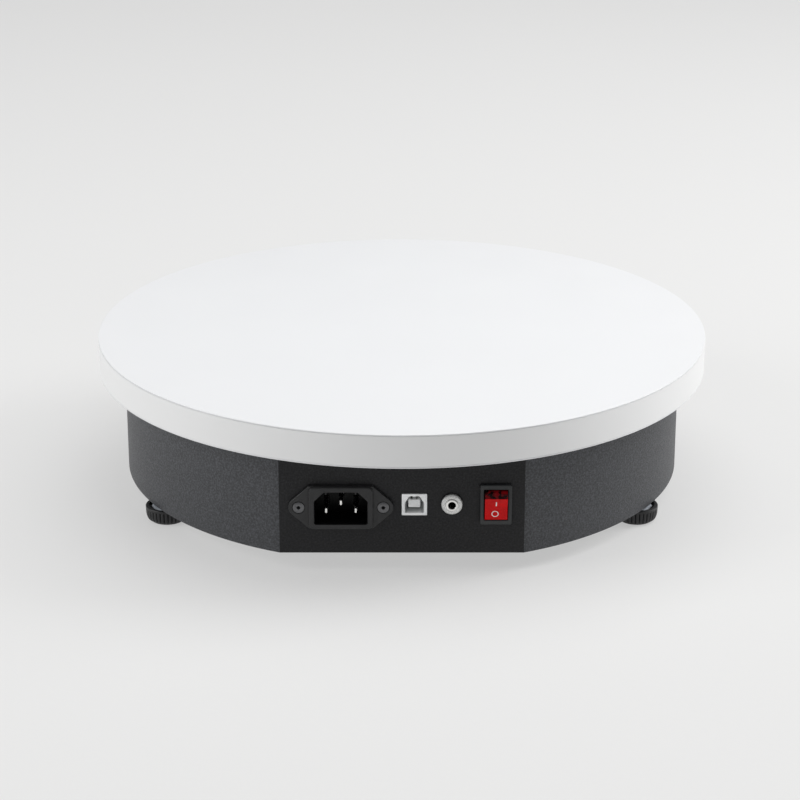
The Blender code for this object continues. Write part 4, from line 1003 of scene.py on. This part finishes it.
# ---- rocker switch --------------------------------------------------------------------------

WINDOW = (11.3 * MM, 15.4 * MM)
BEZEL_CORNER = 0.9 * MM
BEZEL_EDGE = 0.4 * MM
SWITCH_BODY = (12.4 * MM, 18.4 * MM)
ROCKER_RADIUS = 7.4 * MM
ROCKER_HALF_ANGLE = 55.0        # degrees, from the face's middle to its shoulders
ROCKER_TILT = 15.0              # degrees, with the off end pressed
ROCKER_DISH = 0.45 * MM
ROCKER_EDGE = 0.22 * MM
SYMBOL_UP = 2.9 * MM            # from the face's middle


def switch():
    """The frame round the rocker, and the rocker in it."""
    spot, width, height, back, front = panel_box("switch_frame")
    frame_outline = softened(rectangle(width, height), BEZEL_CORNER, 4)
    bezel = plate("switch_bezel", frame_outline, GAP, front, spot, BEZEL_EDGE, 0)
    join(bezel, plate("body", rectangle(*SWITCH_BODY), back, GAP + 0.7 * MM, spot))
    opening = softened(rectangle(*WINDOW), 0.35 * MM, 3)
    sections = [
        (opening, back + 5.5 * MM), (opening, front - 0.45 * MM),
        (inset(opening, -0.18 * MM), front - 0.1 * MM), (inset(opening, -0.4 * MM), front + 1 * MM),
    ]
    cut(bezel, lofted("window", sections, spot))
    finished(bezel, "grey_frame_plastic", "base", ["switch_frame"])
    rocker()


def rocker():
    """The rocker turns about its joint: a dished bright face, end walls darkened with painted shade, and the two
    symbols.
    """
    low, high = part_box("rocker_button")
    width = high.x - low.x
    face = ROCKER_RADIUS * math.cos(math.radians(ROCKER_HALF_ANGLE))
    corner = ROCKER_RADIUS * math.sin(math.radians(ROCKER_HALF_ANGLE))

    # the profile's x points out of the panel and its y up
    shares = [step / 8 for step in range(-7, 8)]
    dished = [(face - ROCKER_DISH * (1 - share ** 2), corner * share) for share in shares]
    upper = arc(ROCKER_RADIUS, ROCKER_HALF_ANGLE, 100, 10)
    lower = arc(ROCKER_RADIUS, 260, 360 - ROCKER_HALF_ANGLE, 10)
    profile = dished + upper + [(-5.0 * MM, 1.2 * MM), (-5.0 * MM, -1.2 * MM)] + lower

    spot = Matrix.Translation(joints["rocker_tilt"]["pos_m"]) @ Matrix.Rotation(math.radians(90), 4, "X")
    stand = Matrix(((0, 0, -1, 0), (0, 1, 0, 0), (1, 0, 0, 0), (0, 0, 0, 1)))
    lean = spot @ stand @ Matrix.Rotation(-math.radians(ROCKER_TILT), 4, "Z")
    cap = plate("rocker_cap", profile, -width / 2, width / 2, lean, ROCKER_EDGE, steps=3)
    finished(cap, "red_plastic", "rocker", ["rocker_button"], 32)

    inverse = lean.inverted()

    def below_face(polygon):
        """The end walls past the shoulders, and all that is under the dished face, which are painted in shade."""
        place = inverse @ polygon.center
        end_wall = place.x < face - 0.12 * MM and abs(place.y) > corner - 0.1 * MM
        return end_wall or place.x < face - ROCKER_DISH - 0.1 * MM

    # the end walls and the faces under the dish take the red plastic with painted shade
    second_material(cap, "red_plastic_painted_shade", below_face)

    def on_face(up):
        """A frame on the dished face, this far above its middle, with its z out of the face."""
        height = face - ROCKER_DISH * (1 - (up / corner) ** 2)
        slope = math.atan2(2 * ROCKER_DISH * up / corner**2, 1.0)
        seat = lean @ Matrix.Translation((height, up, 0.0)) @ Matrix.Rotation(-slope, 4, "Z")
        turn = Matrix(((0, 0, 1, 0), (0, 1, 0, 0), (-1, 0, 0, 0), (0, 0, 0, 1)))
        return seat @ turn

    stroke = rounded_rectangle(0.5 * MM, 2.5 * MM, 0.2 * MM, 4)
    bar = plate("symbol_on", stroke, -0.05 * MM, 0.05 * MM, on_face(SYMBOL_UP), 0.02 * MM)
    finished(bar, "symbol_white", "rocker")
    ring = [
        (1.30 * MM, -0.06 * MM), (1.30 * MM, 0.04 * MM), (1.32 * MM, 0.06 * MM), (1.66 * MM, 0.06 * MM),
        (1.68 * MM, 0.04 * MM), (1.68 * MM, -0.06 * MM),
    ]
    # the ring sits a little to the left of the stroke
    seat = on_face(-SYMBOL_UP) @ Matrix.Translation((-0.5 * MM, 0.0, 0.0))
    finished(turned("symbol_off", ring, seat, 48), "symbol_white", "rocker")


# ---- underside screws -----------------------------------------------------------------------

def cover_screw(side):
    """A pan-head screw with a cross recess, head down."""
    shank, head = 1.5 * MM, 2.9 * MM
    low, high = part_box(f"cover_screw_{side}")
    centre = (low + high) / 2
    spot = Matrix.Translation((centre.x, centre.y, 0.0))
    seat = BASE_BOTTOM - GAP
    profile = [
        (0, high.z), (shank, high.z), (shank, seat), (head, seat), (head - 0.15 * MM, seat - 1.1 * MM),
        (1.6 * MM, low.z + 0.1 * MM), (0, low.z),
    ]
    screw = turned(f"plate_screw_{side}", rounded_profile(profile, 0.2 * MM, 3), spot, 48)
    star = cross(1.5 * MM, 0.35 * MM)
    cut(screw, lofted("star", [(star, low.z - 1 * MM), (inset(star, 0.15 * MM), low.z + 1.2 * MM)], spot))
    finished(screw, "zinc_steel", "base", [f"cover_screw_{side}"])


# ---- the nodes that keep their own shape ----------------------------------------------------

def dress_frame_nodes():
    """Every CAD node still shown gets its slot's procedural material."""
    for name, node in frame["nodes"].items():
        if node.hide_render:
            continue
        node.data.materials.clear()
        node.data.materials.append(MATERIALS[node_slot[name]])
        node.data.shade_smooth()
        node.data.set_sharp_from_angle(angle=math.radians(30))


# ---- studio ---------------------------------------------------------------------------------

FLOOR_REACH = 25.0              # metres from the middle to each edge
FLOOR_COLOUR = (0.33, 0.33, 0.327)
FLOOR_GLOW = 0.43
BOX_SIZE = 0.8                  # metres, of the light box at each side


def floor_material(name, colour, glow):
    """A pale sheet, lit a little from below so that the shadow under the drum stays soft."""
    shader = Shader(name, colour, 0.75)
    shader.colour(shader.ramp(shader.noise(0.35, 3.0), [(0.3, tint(colour, 0.99)), (0.7, colour)]))
    shader.principled.inputs["Emission Color"].default_value = (0.992, 0.990, 0.986, 1.0)
    shader.principled.inputs["Emission Strength"].default_value = glow
    shader.bump(shader.noise(0.004, 3.0), 0.00005)
    return shader.material


def studio():
    """A pale floor, a dim room, a large light above and behind, and one at each side."""
    bm = bmesh.new()
    bmesh.ops.create_grid(bm, x_segments=2, y_segments=2, size=FLOOR_REACH)
    floor = placed("floor", bm)
    floor.data.materials.append(floor_material("pale_floor", FLOOR_COLOUR, FLOOR_GLOW))

    world = bpy.data.worlds.new("soft_room")
    bpy.context.scene.world = world
    world.use_nodes = True
    background = world.node_tree.nodes["Background"]
    background.inputs["Color"].default_value = (0.97, 0.98, 1.0, 1.0)
    background.inputs["Strength"].default_value = 0.24

    product = (0.0, 0.0, 0.05)
    soft_light("overhead", (0.28, 0.42, 1.7), (0.02, 0.20, 0.0), 2.2, 2.0, 24.8)
    soft_light("right_box", (1.35, 0.25, 0.85), product, BOX_SIZE, BOX_SIZE, 14.0)
    soft_light("left_box", (-1.30, -0.35, 0.70), product, BOX_SIZE, BOX_SIZE, 9.0)


def soft_light(name, place, target, width, height, watts):
    """A rectangular light that faces its target."""
    light = bpy.data.lights.new(name, "AREA")
    light.shape = "RECTANGLE"
    light.size = width
    light.size_y = height
    light.energy = watts
    obj = bpy.data.objects.new(name, light)
    obj.location = place
    obj.rotation_euler = (Vector(target) - Vector(place)).to_track_quat("-Z", "Y").to_euler()
    bpy.context.scene.collection.objects.link(obj)


def camera():
    """Straight in front of the panel, a little over 20 degrees above it, through a long lens."""
    data = bpy.data.cameras.new("camera")
    data.sensor_width = 36.0
    data.lens = 114.1
    obj = bpy.data.objects.new("camera", data)
    obj.location = (-0.0009, -1.2347, 0.4973)
    obj.rotation_euler = (math.radians(69.62), 0.0, 0.0)
    bpy.context.scene.collection.objects.link(obj)
    bpy.context.scene.camera = obj


bpy.context.scene.view_settings.view_transform = "Standard"
camera()
platter()
drum()
cover()
for foot_side in SIDES:
    foot(foot_side)
    cover_screw(foot_side)
inlet()
usb_port()
jack()
switch()
dress_frame_nodes()
studio()

bpy.context.view_layer.update()
